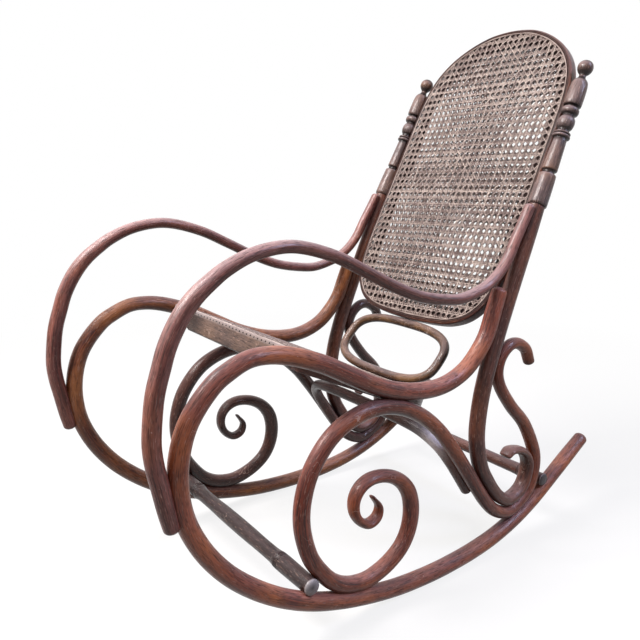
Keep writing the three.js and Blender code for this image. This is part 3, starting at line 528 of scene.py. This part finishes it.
# Armrest, one on each side: a beech rod, thick at the front and thinner behind, screwed to the front of
# the rail and swept up over the sitter's elbow and back to the post, where it ends sawn level with it.
arm_radius = 0.01397
arm_shares = [
    [-0.514, 0.298, 0.93, 0.93], [-0.519, 0.323, 1, 1], [-0.527, 0.366], [-0.533, 0.4], [-0.535, 0.43],
    [-0.531, 0.47], [-0.525, 0.503], [-0.514, 0.537], [-0.503, 0.567], [-0.482, 0.603],
    [-0.458, 0.63, 0.94], [-0.43, 0.651, 0.88, 0.96], [-0.409, 0.664, 0.84, 0.93],
    [-0.367, 0.681, 0.78, 0.88], [-0.315, 0.689, 0.75, 0.84], [-0.276, 0.686, 0.75, 0.82],
    [-0.21, 0.666, 0.75, 0.8], [-0.148, 0.636], [-0.086, 0.605], [-0.022, 0.579], [0.045, 0.565],
    [0.085, 0.562], [0.125, 0.569], [0.16, 0.581], [0.191, 0.601, 0.76], [0.216, 0.628, 0.77],
    [0.235, 0.66, 0.78], [0.254, 0.69], [0.274, 0.722],
]
# the arms' upward faces pale the most: partly faded stain, partly a painted sheen
dusty_and_sheen_beech = stained_beech(
    "steam-bent beech, handled", "34120f", "763f36", "a87268", "985c44", wear=0.5, fading_and_sheen=0.6)
sawn_rods("bent_arm", arm_shares, arm_radius, dusty_and_sheen_beech, "armrest")


# Turned post, one on each side: beech turned on a lathe, with a groove over its foot, a collar, two beads,
# a barrel and a ball on top. The grooves are darker: partly stain kept in them, partly painted shade.
turned_length = 0.318
turned_radius = 0.0195
turned_sides = 48
profile_samples = 1200
corner_cut = 0.25
# share of the length, share of the radius, from the foot up
turned_shares = [
    [0, 0.92], [0.004, 1], [0.06, 0.985], [0.13, 0.95], [0.2, 0.9], [0.211, 0.87], [0.214, 0.66],
    [0.224, 0.62], [0.236, 0.64], [0.24, 0.8], [0.25, 0.82], [0.36, 0.75], [0.45, 0.69], [0.458, 0.66],
    [0.461, 0.82], [0.466, 0.9], [0.474, 0.91], [0.479, 0.86], [0.481, 0.76], [0.485, 0.76], [0.488, 0.84],
    [0.493, 0.87], [0.498, 0.82], [0.501, 0.62], [0.514, 0.6], [0.524, 0.64], [0.53, 0.76], [0.55, 0.86],
    [0.57, 0.885], [0.588, 0.84], [0.602, 0.72], [0.61, 0.62], [0.62, 0.62], [0.625, 0.8], [0.635, 0.9],
    [0.648, 0.92], [0.66, 0.88], [0.666, 0.8], [0.67, 0.62], [0.679, 0.62], [0.682, 0.86], [0.69, 0.925],
    [0.73, 0.94], [0.78, 0.925], [0.82, 0.885], [0.845, 0.81], [0.858, 0.68], [0.87, 0.48], [0.88, 0.38],
    [0.89, 0.35], [0.9, 0.37], [0.91, 0.52], [0.922, 0.68], [0.936, 0.78], [0.949, 0.81], [0.963, 0.79],
    [0.977, 0.7], [0.988, 0.53], [0.996, 0.3], [1, 0.02],
]


def softened(profile):
    """The same profile with its corners cut a little, as a turning tool leaves them."""
    near = profile[:-1] * (1 - corner_cut) + profile[1:] * corner_cut
    far = profile[:-1] * corner_cut + profile[1:] * (1 - corner_cut)
    return np.vstack([profile[:1], np.stack([near, far], axis=1).reshape(-1, 2), profile[-1:]])


def turned_mesh(profile, foot, way, sides=turned_sides):
    """A turned piece. Its profile's rows are a place along the axis and the radius there."""
    side = unit(np.cross(way, [0, 1, 0.2]))
    other = np.cross(way, side)
    angles = np.arange(sides) / sides * math.tau
    across = np.cos(angles) * profile[:, 1:2]
    upright = np.sin(angles) * profile[:, 1:2]
    corners = foot + profile[:, None, :1] * way + across[..., None] * side + upright[..., None] * other
    return tube(corners, across, upright, profile[:, :1])


def groove_dirt_and_shade(profile, reach=0.004, depth=0.0026):
    """Darkening for each corner of a turned piece, more the further its place lies below its surroundings:
    partly stain and dirt kept in the hollows, partly painted shade.
    """
    places = np.linspace(profile[0, 0], profile[-1, 0], profile_samples)
    radii = np.interp(places, profile[:, 0], profile[:, 1])
    span = max(int(reach / (places[1] - places[0])), 1)
    around = np.max([np.roll(radii, shift) for shift in range(-span, span + 1)], axis=0)
    below = np.clip((around - radii) / depth, 0, 1) ** 1.5
    return np.repeat(np.interp(profile[:, 0], places, below), turned_sides)


turned_beech = stained_beech(
    "turned beech, greyed", "241817", "54403c", "806e6c", "7e5c44", wear=0.5, fading_and_sheen=0.5, gloss=0.2)
turned_profile = softened(np.array(turned_shares) * [turned_length, turned_radius])
for side, right in both_sides:
    make_piece(f"lathe_post_{side}", turned_mesh(turned_profile, joint, post_way), turned_beech,
               [f"turned_post_{side}"], right, tone=groove_dirt_and_shade(turned_profile))


# Dowels: plain beech pins, hidden in the joints between the bent posts and the turned ones.
bare_beech = stained_beech(
    "bare beech dowel", "b08a62", "c49c72", "d2ad84", "c49c72", wear=0, fading_and_sheen=0, gloss=0.5)
for side, _ in both_sides:
    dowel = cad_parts[f"post_dowel_{side}"]
    dowel.data.materials.clear()
    dowel.data.materials.append(bare_beech)


# Hoop of the back: one length of beech bent to an arch and closed at the bottom, flat on its outside with
# its corners rounded. Both faces have a narrow grooved margin and are sunk inside it for the cane.
hoop_lean = math.radians(26.5)
hoop_height = 0.7057
hoop_below_joint = 0.287
hoop_width = 0.036
hoop_depth = 0.025
hoop_forward = 0.005
hoop_bite = 0.001
hoop_edge_radius = 0.005
cane_margin = 0.008
cane_recess = 0.0024
hoop_step = 0.006
hoop_edge_steps = 6
# from the top round to the bottom: share of half the width between the posts, share of the height
hoop_shares = [
    [0, 1], [0.13, 0.998], [0.285, 0.991], [0.44, 0.975], [0.605, 0.949], [0.76, 0.913], [0.885, 0.864],
    [0.96, 0.807], [0.993, 0.741], [1, 0.662], [1, 0.552], [1, 0.432], [1, 0.3125], [0.995, 0.2275],
    [0.96, 0.147], [0.878, 0.086], [0.747, 0.0415], [0.565, 0.015], [0.36, 0.005], [0.17, 0.0015],
    [0, 0],
]
back_origin = np.array([0, joint[1], joint[2]])
back_up = np.array([0, math.sin(hoop_lean), math.cos(hoop_lean)])
back_out = np.array([0, -math.cos(hoop_lean), math.sin(hoop_lean)])


def hoop_line():
    """The hoop's outer edge in its own plane, as places across and up."""
    half = []
    for across, share in hoop_shares:
        up = share * hoop_height - hoop_below_joint
        half_width = side_spread(joint[2] + up * math.cos(hoop_lean)) - post_radius + hoop_bite
        half.append([across * half_width, up, 0])
    left = [[-across, up, 0] for across, up, _ in half[1:-1]]
    return even_curve(half[::-1] + left, hoop_step, closed=True)[:, :2]


def outward_from(line):
    """For each point of a closed line that turns left all the way, the direction straight out of it."""
    way = unit(np.roll(line, -1, axis=0) - np.roll(line, 1, axis=0))
    return np.stack([way[:, 1], -way[:, 0]], axis=1)


def swept_ring(line, outward, section, origin, up, out):
    """A closed ring: the section's corners, as distances outward and forward, taken round the line."""
    section = np.array(section)
    across = line[:, None, 0] + outward[:, None, 0] * section[:, 0]
    upright = line[:, None, 1] + outward[:, None, 1] * section[:, 0]
    forward = np.broadcast_to(section[:, 1], across.shape)
    corners = origin + across[..., None] * [1, 0, 0] + upright[..., None] * up + forward[..., None] * out
    along = np.arange(len(line))[:, None] * np.linalg.norm(line[1] - line[0])
    return tube(corners, section[:, 0], forward, along, closed=True)


def hoop_section():
    """The hoop's section, as distances outward and forward, and how dark each corner is painted."""
    half = hoop_depth / 2
    middle = hoop_forward - half
    turns = np.linspace(0, math.pi / 2, hoop_edge_steps)
    round_edge = [[1 - math.cos(turn), 1 - math.sin(turn)] for turn in turns]
    front = [[-hoop_edge_radius * inward, half - hoop_edge_radius * deep] for inward, deep in round_edge]
    # a scribed groove in the margin, the step down to the cane, and the floor that falls away inward
    front += [[-inward, half - deep] for inward, deep in (
        (0.0042, 0), (0.0048, 0.0011), (0.0056, 0.0011), (0.0060, 0.0004), (cane_margin - 0.0006, 0.0004),
        (cane_margin, cane_recess), (cane_margin + 0.010, cane_recess + 0.0004),
        (cane_margin + 0.014, cane_recess * 2.2), (hoop_width - 0.002, cane_recess * 2.6),
        (hoop_width, cane_recess * 3.2),
    )]
    # the inner edge carry painted shade
    # the rounded edge and the margin darken towards the cane; the groove, the sunk face under the cane and
    dirt_and_shade = [0, 0, 0, 0.2, 0.5, 0.7, 0.8, 0.95, 0.95, 0.6, 0.7] + [1] * 5
    back = [[out, -side] for out, side in front[::-1]]
    return [[out, side + middle] for out, side in front + back], dirt_and_shade + dirt_and_shade[::-1]


outer = hoop_line()
outer_out = outward_from(outer)
hoop_edge, hoop_painted_shade = hoop_section()
make_piece("bent_hoop", swept_ring(outer, outer_out, hoop_edge, back_origin, back_up, back_out),
           brown_beech, ["back_hoop"], tone=np.tile(hoop_painted_shade, len(outer)))


# Cane of the back: strands split from the skin of rattan, woven by hand in six ways on each face of the
# hoop. Paired uprights and paired crosswise strands leave small windows, and slanting strands from both
# sides cut the windows' corners. A reed round the sunk face's edge holds the strands' ends.

# spacing of the windows across and up, the first window's place, and the panel's turn
front_weave = (0.0149, 0.0163, 0.0062, 0.0122, 0.041)
rear_weave = (0.0146, 0.0157, 0.0040, 0.0006, 0.032)
seat_weave = (0.0150, 0.0150, 0.0075, 0.0075, 0)
pair_gap = 0.0016
strand_width = 0.0027
strand_thickness = 0.0007
strand_level = 0.00065
tuck_depth = 0.002
reed_width = 0.0028
reed_inset = cane_margin + 0.001
reed_sink = 0.0008
# how far strands stray: their start, their bow, and their own shade's middle and spread
start_stray = 0.00025
bow_stray = 0.0004
shade_middle, shade_spread = 0.56, 0.4
# painted light on a strand's crown and painted shade at its edges, against its own shade
painted_crown_light, painted_edge_shade = 0.1, -0.55
end_step = 0.003
steps_per_window = 4
shortest_strand = strand_width * 2
log_length = 3
chance = np.random.default_rng(11)


def cane_material(name, dark, pale):
    """Split rattan skin: smooth, glassy and pale when new, pinkish grey-brown with age and old polish."""
    material, tree = new_material(name)
    blank = attribute(tree, "blank", "Vector")
    fibre = noise(tree, blank, (2200, 2200, 60), 1.0)
    stain = ramped(tree, noise(tree, blank, (24, 24, 34), 3.0), 0.4, 0.7)
    shades = mixed(tree, attribute(tree, "tone"), linear(dark), linear(pale))
    shades = mixed(tree, maths(tree, "MULTIPLY", stain, 0.75), shades, linear("54423e"))
    shades = mixed(tree, maths(tree, "MULTIPLY", fibre, 0.35), shades, linear("7c655b"))
    bump = add_node(tree, "ShaderNodeBump", {"Height": fibre, "Strength": 0.2, "Distance": 0.0001})
    surfaced(tree, {"Base Color": shades, "Roughness": 0.45, "Normal": bump.outputs[0], "IOR": 1.5})
    return material


def crossings(outline, start, way):
    """Where a straight strand enters and leaves the outline, as distances from its start."""
    following = np.roll(outline, -1, axis=0)
    normal = np.array([-way[1], way[0]])
    here = (outline - start) @ normal
    there = (following - start) @ normal
    hit = (here < 0) != (there < 0)
    share = here[hit] / (here[hit] - there[hit])
    points = outline[hit] + (following[hit] - outline[hit]) * share[:, None]
    return np.sort((points - start) @ way)


def lattice(pitch_x, pitch_y, reach):
    """Every strand of the weave: a place on it, its direction, and its level and the level's swing."""
    diagonal = math.hypot(pitch_x, pitch_y)
    slant_x, slant_y = pitch_x / diagonal, pitch_y / diagonal
    strands = []
    for m in range(-reach, reach):
        x, y = (m + 0.5) * pitch_x, (m + 0.5) * pitch_y
        strands += [
            (x - pair_gap, 0, 0, 1, -1, 0), (x + pair_gap, 0, 0, 1, 1, 0),
            (0, y - pair_gap, 1, 0, 0, 0.2), (0, y + pair_gap, 1, 0, 0, -0.2),
            (x, 0, slant_x, slant_y, 0.67, -1.18), (x, 0, -slant_x, slant_y, -0.67, 1.18),
        ]
    return strands


def joined(meshes):
    """Several meshes as one."""
    corners, faces, blank = zip(*meshes)
    starts = np.cumsum([0] + [len(part) for part in corners]).tolist()
    moved = [[corner + start for corner in face] for start, part in zip(starts, faces) for face in part]
    return np.vstack(corners), moved, np.vstack(blank)


def woven(outline, weave, origin, across, up, out):
    """A panel of six-way cane inside the outline: paired uprights, paired crosswise strands and two slants.
    The weave is the windows' spacing across and up, the first window's place, and the panel's turn."""
    pitch_x, pitch_y, shift_x, shift_y, turn = weave
    turned = np.array([[math.cos(turn), math.sin(turn)], [-math.sin(turn), math.cos(turn)]])
    shift = np.array([shift_x, shift_y])
    reach = int(np.ptp(outline, axis=0).max() / min(pitch_x, pitch_y)) + 4
    spread = np.array([-0.5, 0, 0.5, 0]) * strand_width
    lift = np.array([0, 0.5, 0, -0.5]) * strand_thickness
    meshes, tones = [], []
    for x, y, way_x, way_y, level, swing in lattice(pitch_x, pitch_y, reach):
        start = (np.array([x, y]) + shift + chance.normal(0, start_stray, 2)) @ turned
        way = np.array([way_x, way_y]) @ turned
        beside = np.array([-way[1], way[0]])
        ends = crossings(outline, start, way)
        bow = chance.normal(0, bow_stray)
        tone = float(np.clip(chance.normal(shade_middle, shade_spread), 0, 1))
        lie = chance.random() * log_length
        for near, far in zip(ends[::2], ends[1::2]):
            if far - near < shortest_strand:
                continue
            step = pitch_x / steps_per_window / max(abs(way_x), 0.5)
            places = np.linspace(near, far, max(int((far - near) / step), 2) + 1)
            places = np.concatenate([[near], [near + end_step], places[1:-1], [far - end_step], [far]])
            places = np.unique(places)
            line = start + places[:, None] * way
            phase = np.cos(math.tau * (line @ turned[0] - shift_x) / pitch_x)
            heights = (level + swing * phase) * strand_level
            heights[0] = heights[-1] = -tuck_depth
            share = (places - near) / (far - near)
            line = line + beside * (bow * np.sin(math.pi * share))[:, None]
            plane = line[:, None] + beside * spread[:, None]
            raised = heights[:, None] + lift
            corners = origin + plane[..., :1] * across + plane[..., 1:] * up + raised[..., None] * out
            meshes.append(tube(corners, spread, raised, places[:, None] + lie))
            # each strand is painted lighter on its crown and darker at its edges: painted light and shade
            edge = tone + painted_edge_shade
            tones.append(np.tile([edge, tone + painted_crown_light, edge, edge], len(places)))
    return joined(meshes), np.concatenate(tones)


def half_round(width):
    """A reed's section: round on top, with a point below that holds it in its groove."""
    turns = np.linspace(0, math.pi, 7)
    return [[math.cos(t) * width / 2, math.sin(t) * width / 2] for t in turns] + [[0, -width / 3]]


cane = cane_material("aged split cane", "5a4644", "dcccc2")
# the rear layer's copy is darker: painted shade, as light reaches it only through the front's windows
inner_cane_painted_shade = cane_material("aged split cane, painted shade inside", "2c1e1a", "86695e")
across = np.array([1.0, 0, 0])
faces_of_back = {
    "front": (back_origin + back_out * hoop_forward, back_out, front_weave),
    "rear": (back_origin + back_out * (hoop_forward - hoop_depth), -back_out, rear_weave),
}
for face, (origin, out, weave) in faces_of_back.items():
    sunk = origin - out * cane_recess / 2
    edge = outer - outer_out * (reed_inset + reed_width / 2)
    mesh, tones = woven(edge, weave, sunk, across, back_up, out)
    shade = cane if face == "front" else inner_cane_painted_shade
    make_piece(f"woven_back_{face}", mesh, shade, [f"back_cane_{face}"], tone=tones)
    reed = swept_ring(edge, outer_out, half_round(reed_width), origin - out * reed_sink, back_up, out)
    make_piece(f"reed_{face}", reed, cane, [], tone=np.full(len(reed[0]), 0.45))


# Seat: a beech rim bent to a U, tenoned at its two front ends into a sawn board, and caned like the back.
# A wide strand with pegs binds the cane's edge down all round, and a row of pegs runs along the board.
seat_front = np.array(side_point(-0.283, 0.5214))
seat_rear = np.array(side_point(0.085, 0.3496))
seat_bite = 0.003
seat_rim_width = 0.026
seat_rim_depth = 0.032
seat_corner_radius = 0.130
seat_edge_radius = 0.004
front_rail_depth = 0.041
front_rail_thickness = 0.022
seat_cane_lap = 0.011
edge_steps = 5
corner_steps = 24
seat_origin = seat_front * [0, 1, 1]
seat_down = (seat_rear - seat_front) * [0, 1, 1]
seat_length = float(np.linalg.norm(seat_down))
seat_down = seat_down / seat_length
seat_out = np.cross(across, seat_down)
seat_half_width = seat_front[0] - rail_radius + seat_bite


def seat_outline(inset, front):
    """The seat's outline, rounded at the rear: places across and down the slope, from the front left."""
    half, radius, rear = seat_half_width - inset, seat_corner_radius - inset, seat_length - inset
    turns = np.linspace(0, math.pi / 2, corner_steps)
    left = [[half - radius + radius * math.cos(t), rear - radius + radius * math.sin(t)] for t in turns]
    right = [[-x, y] for x, y in left[::-1]]
    return np.array([[half, front]] + left + right + [[-half, front]])


def seat_place(plane, height):
    """Places across and down the seat's slope, and above it, as points of the frame."""
    return seat_origin + plane[..., :1] * across + plane[..., 1:] * seat_down + height[..., None] * seat_out


def rounded_section(width, depth, radius, below_front=()):
    """A board's section with rounded edges, from its top front edge down and round. More corners can go
    on its front face, just below the first edge."""
    section = []
    for out, down, begin in (
        (radius, -radius, 90), (radius, -depth + radius, 180),
        (width - radius, -depth + radius, 270), (width - radius, -radius, 0),
    ):
        for turn in np.radians(np.linspace(begin, begin + 90, edge_steps)):
            section.append([out + radius * math.cos(turn), down + radius * math.sin(turn)])
        if begin == 90:
            section += [[0, -drop] for drop in below_front]
    return np.array(section)


def rim_mesh():
    """The rim's rounded section, taken from the front left round the rear to the front right."""
    front = front_rail_thickness + joint_gap
    section = rounded_section(seat_rim_width, seat_rim_depth, seat_edge_radius)
    plane = np.stack([seat_outline(inset, front) for inset, _ in section], axis=1)
    heights = np.broadcast_to(section[:, 1], plane.shape[:2])
    along = distances(plane[:, 0])[:, None]
    return tube(seat_place(plane, heights), section[:, 0], heights, along)


make_piece("bent_seat_rim", rim_mesh(), brown_beech, ["seat_rim"])

# drops below the board's top front edge: its wear fades out between the first two
worn_drops = (0.006, 0.009, 0.012)
station_step = 0.01


def board_mesh(length, thickness, depth, radius):
    """A sawn board with rounded edges: its long way across, its face to the front."""
    section = rounded_section(thickness, depth, radius, worn_drops)
    middle = section.mean(axis=0)
    straight = np.arange(station_step / 2, length / 2 - radius - 0.002, station_step)
    stations = [(x, 0) for x in straight]
    for turn in np.linspace(0, math.pi / 2, edge_steps):
        stations.append((length / 2 - radius + radius * math.sin(turn), radius * (1 - math.cos(turn))))
    stations = [(-x, tuck) for x, tuck in stations[::-1]] + stations
    rings = []
    for x, tuck in stations:
        shrink = 1 - tuck / np.abs(section - middle).max(axis=0)
        ring = middle + (section - middle) * shrink
        rings.append(np.column_stack([np.full(len(ring), x), ring]))
    rings = np.array(rings)
    return tube(seat_place(rings[..., :2], rings[..., 2]), rings[..., 1], rings[..., 2], rings[..., 0])


sawn_beech = stained_beech(
    "sawn beech board, rubbed", "231815", "443430", "624e46", "6e543e", wear=0.55, gloss=0.34)
corners, faces, blank = board_mesh(
    seat_half_width * 2, front_rail_thickness, front_rail_depth, seat_edge_radius)
from_middle = np.abs(corners[:, 0])
height = (corners - seat_origin) @ seat_out
# the board's underside is cut back at both ends, where it meets the rails
end_cut_length, end_cut_slope, end_cut_depth = 0.085, 0.04, 0.022
underside = -0.03
cut_back = np.clip((from_middle - seat_half_width + end_cut_length) / end_cut_slope, 0, 1) * end_cut_depth
corners = corners + np.where(height < underside, cut_back, 0)[:, None] * seat_out
# its face is darker towards the sitter's right end and a little near the middle, and its top edge is rubbed
right_end_darkening = 0.8 * np.clip((-0.07 - corners[:, 0]) / 0.04, 0, 1)
middle_darkening = 0.2 * np.exp(-((corners[:, 0] - 0.03) / 0.03) ** 2)
fading_edge = worn_drops[1] - worn_drops[0]
rubbed_edge = 0.12 * np.clip((height + worn_drops[1]) / fading_edge, 0, 1)
make_piece("sawn_front_board", (corners, faces, blank), sawn_beech, ["seat_front_rail"],
           tone=(right_end_darkening + middle_darkening) * (rubbed_edge == 0), bare_and_glint=rubbed_edge)

seat_edge = seat_outline(seat_rim_width - seat_cane_lap, front_rail_thickness - seat_cane_lap)
seat_sunk = seat_origin - seat_out * cane_recess / 2
mesh, tones = woven(seat_edge, seat_weave, seat_sunk, across, seat_down, seat_out)
make_piece("woven_seat", mesh, cane, ["seat_cane"], tone=tones)

# the binder is a wide strand laid flat over the cane's edge
binder_half = [[0.0045, -0.0006], [0.004, 0.0007]]
binder_section = binder_half + [[0, 0.0011]] + [[-side, rise] for side, rise in binder_half[::-1]]
binder_line = evenly(seat_edge, 0.005, closed=True)
binder = swept_ring(
    binder_line, outward_from(binder_line), binder_section, seat_origin, seat_down, seat_out)
make_piece("seat_binder", binder, cane, [], tone=np.full(len(binder[0]), 0.8))

# the pegs that hold it, and a row of more
peg_profile = np.array([[-0.002, 0.0017], [0.0008, 0.0017], [0.0013, 0.0013]])
peg_sides = 10
peg_row_half, peg_row_step = 0.2, 0.0125
peg_sink, peg_sink_stray = 0.004, 0.0008
feet = [(seat_place(place, np.zeros(())), seat_out) for place in binder_line[::3]]
# the row stands along the board's rounded top front edge, each peg at its own depth
edge_way = unit(seat_out * 0.5 - seat_down)
for x in np.arange(-peg_row_half, peg_row_half + 0.001, peg_row_step):
    sunk = seat_down * 0.0006 - seat_out * (peg_sink + peg_sink_stray * chance.random())
    feet.append((seat_origin + across * x + sunk, edge_way))
pegs = joined([turned_mesh(peg_profile, foot, way, peg_sides) for foot, way in feet])
make_piece("cane_pegs", pegs, dark_beech, [], tone=np.ones(len(pegs[0])))


# Oval ring between the seat and the back: a thin beech rod bent to a flattened oval, its ends scarfed and
# glued where they don't show.
ring_radius = 0.0098
ring_half_width = 0.146
ring_power = 3
ring_setback = 0.008
ring_sides = 24
ring_points = 32
ring_stand = ring_radius + joint_gap
ring_along = seat_length - (seat_rim_width - seat_cane_lap) / 2
ring_foot = seat_origin + seat_down * ring_along + seat_out * ring_stand
ring_top = back_origin - back_up * (hoop_below_joint + ring_stand) - back_out * ring_setback
ring_up = unit(ring_top - ring_foot)
ring_out = np.cross(across, ring_up)
ring_half_height = float(np.linalg.norm(ring_top - ring_foot)) / 2


def ring_line():
    """The ring's middle line in its own plane: an oval with flattened sides."""
    points = []
    for i in range(ring_points):
        turn = i / ring_points * math.tau
        x = math.copysign(abs(math.cos(turn)) ** (2 / ring_power), math.cos(turn))
        y = math.copysign(abs(math.sin(turn)) ** (2 / ring_power), math.sin(turn))
        points.append([x * ring_half_width, y * ring_half_height, 0])
    return even_curve(points, ring_step, closed=True)[:, :2]


ring_turns = np.arange(ring_sides) / ring_sides * math.tau
round_section = [[math.cos(t) * ring_radius, math.sin(t) * ring_radius] for t in ring_turns]
oval = ring_line()
ring_middle = (ring_foot + ring_top) / 2
golden_beech = stained_beech(
    "steam-bent beech, rubbed to gold", "120805", "38231a", "6a4c38", "84623e",
    wear=0.6, fading_and_sheen=0.3, gloss=0.16,
)
make_piece("bent_oval", swept_ring(oval, outward_from(oval), round_section, ring_middle, ring_up, ring_out),
           golden_beech, ["oval_ring"])


# Arched brace under the seat: a beech rod bent to a wide arch, screwed inside the two scrolls.
# Its middle bar is darker, and a pale painted highlight lies at its left corner.
brace_radius = 0.012
brace_corner_radius = 0.080
brace_leg_length = 0.173
brace_clearance = 0.023
brace_along = 0.976
brace_contact = 0.86
brace_top = (seat_origin + seat_down * brace_along * seat_length
             - seat_out * (seat_rim_depth + brace_clearance + brace_radius))
brace_foot = np.array(side_point(0.148, 0.143))
brace_down = unit((brace_foot - brace_top) * [0, 1, 1])


def brace_rows():
    """The brace's middle line with its half thickness, from the left leg's foot to the right one's."""
    def reach(z):
        return side_spread(z) - scroll_radius * brace_contact - brace_radius

    half = []
    for share in (0, 0.33, 0.67, 1):
        angle = share * math.pi / 2
        x = reach(brace_top[2]) - brace_corner_radius * (1 - math.sin(angle))
        half.append(brace_top + brace_down * brace_corner_radius * (1 - math.cos(angle)) + [x, 0, 0])
    for share in (0.35, 0.7, 1):
        down = brace_corner_radius + (brace_leg_length - brace_corner_radius) * share
        point = brace_top + brace_down * down
        half.append(point + [reach(point[2]), 0, 0])
    points = half[::-1] + [point * [-1, 1, 1] for point in half]
    return [[*point, brace_radius, brace_radius] for point in points]


# the painted highlight's place along the rod and its half length, and half the width of the darker bar
glint_place, glint_reach = 0.152, 0.036
darker_bar_half, darker_bar_fade = 0.2, 0.02
arch = rod_mesh(brace_rows(), np.cross(across, brace_down))
# a pale painted highlight near the left corner, and the middle bar darker
painted_glint = np.exp(-((arch[2][:, 2] - glint_place) / glint_reach) ** 2)
darker_bar = 0.62 * np.clip((darker_bar_half - np.abs(arch[0][:, 0])) / darker_bar_fade, 0, 1)
make_piece("bent_arch", arch, brown_beech, ["arch_brace"], tone=darker_bar, bare_and_glint=painted_glint)


# Stretchers: turned beech bars laid across the tops of both rockers and screwed down. The front one
# narrows before a thicker, ringed stretch at each end. The rear one has two swellings and a knob there.
stretcher_overhang = 0.012
stretcher_half_length = floor_spread + stretcher_overhang
stretcher_bite = 0.002
stretcher_end = 0.88
end_wear, end_wear_fade = 0.006, 0.004
tip_share = 0.04
ring_cut, ring_cut_half = 0.0014, 0.001
ring_span, ring_sampling = 0.26, 0.001
turning_marks = {"front": (0.615, 0.63, 0.647), "rear": (0.745, 0.8, 0.84)}
dark_turned = stained_beech(
    "turned beech, dark", "100807", "2a1a19", "44312f", "422d26", wear=0.12, fading_and_sheen=0.1)
# share of the half length from the middle out, share of the radius
front_stretcher_shares = [
    [0, 0.96], [0.2, 0.94], [0.33, 0.88], [0.5, 0.87], [0.56, 0.9], [0.6, 1.02], [0.66, 1.04],
    [0.8, 1.0], [0.975, 0.95], [1, 0.86],
]
rear_stretcher_shares = [
    [0, 0.88], [0.5, 0.86], [0.72, 0.88], [0.75, 1.0], [0.775, 1.1], [0.8, 0.98], [0.82, 1.06],
    [0.86, 0.9], [0.94, 0.86], [0.97, 0.95], [0.99, 0.86], [1, 0.5],
]
stretchers = {
    # outline, radius, place along the rail's points as a share, and finish
    "front": (front_stretcher_shares, 0.016, 0.648, dark_turned),
    "rear": (rear_stretcher_shares, 0.0155, 0.939, brown_beech),
}
rail_rows = np.array(outline_rows(rail_shares, rail_radius))
for end, (shares, radius, place, finish) in stretchers.items():
    row = place * (len(rail_rows) - 1)
    low = int(row)
    along = rail_rows[low + 1] - rail_rows[low]
    foot = rail_rows[low] + along * (row - low)
    upward = unit(np.array([0, -along[2], along[1]]))
    centre = (foot[:3] + upward * (foot[3] + radius * stretcher_end - stretcher_bite)) * [0, 1, 1]
    half = [[along_share * stretcher_half_length, share * radius] for along_share, share in shares]
    mirror = [[-along_share, share] for along_share, share in half[::-1] if along_share > 0]
    tip = [stretcher_half_length, half[-1][1] * tip_share]
    profile = softened(np.array([[-tip[0], tip[1]]] + mirror + half + [tip]))
    # the rings that the turner cut, as narrow grooves, and the ends' battered edges
    between = np.arange(-ring_span, ring_span, ring_sampling)
    places = np.unique(np.concatenate([profile[:, 0], between]))
    radii = np.interp(places, profile[:, 0], profile[:, 1])
    for mark in turning_marks[end]:
        from_mark = np.abs(places) - mark * stretcher_half_length
        radii -= ring_cut * np.exp(-(from_mark / ring_cut_half) ** 2)
    profile = np.column_stack([places, radii])
    mesh = turned_mesh(profile, centre, np.array([1.0, 0, 0]))
    in_from_end = stretcher_half_length - np.abs(mesh[0][:, 0])
    battered = np.clip((end_wear - in_from_end) / end_wear_fade, 0, 1) * 0.75
    # darker in the ring grooves, partly dirt and partly painted shade, and a little darker all along
    dirt_and_shade = np.maximum(groove_dirt_and_shade(profile, reach=0.002, depth=0.001), 0.2)
    make_piece(f"lathe_stretcher_{end}", mesh, finish, [f"{end}_stretcher"],
               tone=dirt_and_shade, bare_and_glint=battered)


# Wood screws: old steel screws with flat heads set flush, darkened by age and stain. Each stands where
# the frame has it. The threads are plain rings, and the heads have no slot.
screw_sides = 24
screw_shank = 0.45  # share of the head's radius
thread_floor = 0.74  # share of the shank's radius
thread_rings = 17


def screw_material():
    """Steel darkened by age and stain: dull and brown-black, rustier in patches."""
    material, tree = new_material("darkened steel screw")
    place = add_node(tree, "ShaderNodeNewGeometry").outputs["Position"]
    rust = ramped(tree, noise(tree, place, 420.0, 3.0), 0.35, 0.65)
    surfaced(tree, {
        "Base Color": mixed(tree, rust, linear("4c4540"), linear("5a3a28")),
        "Roughness": maths(tree, "MULTIPLY_ADD", rust, 0.3, 0.4), "Metallic": 0.8,
    })
    return material


def screw_mesh(node):
    """A threaded screw along the frame's own screw: the head's end is where the corners lie widest."""
    corners = np.array([v.co for v in node.data.vertices])
    middle = corners.mean(axis=0)
    way = np.linalg.svd(corners - middle, full_matrices=False)[2][0]
    along = (corners - middle) @ way
    away = np.linalg.norm(corners - middle - along[:, None] * way, axis=1)
    if along[away.argmax()] < 0:
        way, along = -way, -along
    head, tip = along.max(), along.min()
    radius = away.max()
    shank = radius * screw_shank
    # the rings of the thread, the plain shank under the head, and the head's edge and flat top
    profile = [[tip, shank * 0.1]]
    places = np.linspace(head - radius * 1.6, tip + radius * 0.6, thread_rings)[::-1]
    for i, place in enumerate(places):
        profile.append([place, shank * (1.0 if i % 2 else thread_floor)])
    profile += [[head - radius * 1.2, shank], [head - radius * 0.65, shank], [head - 0.0004, radius]]
    profile += [[head - 0.0001, radius * 0.97], [head, radius * 0.9], [head, radius * 0.02]]
    return turned_mesh(np.array(profile), middle, way, screw_sides)


old_steel = screw_material()
for name, node in sorted(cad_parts.items()):
    if "screw" in name:
        make_piece(f"slotted_{name}", screw_mesh(node), old_steel, [name])
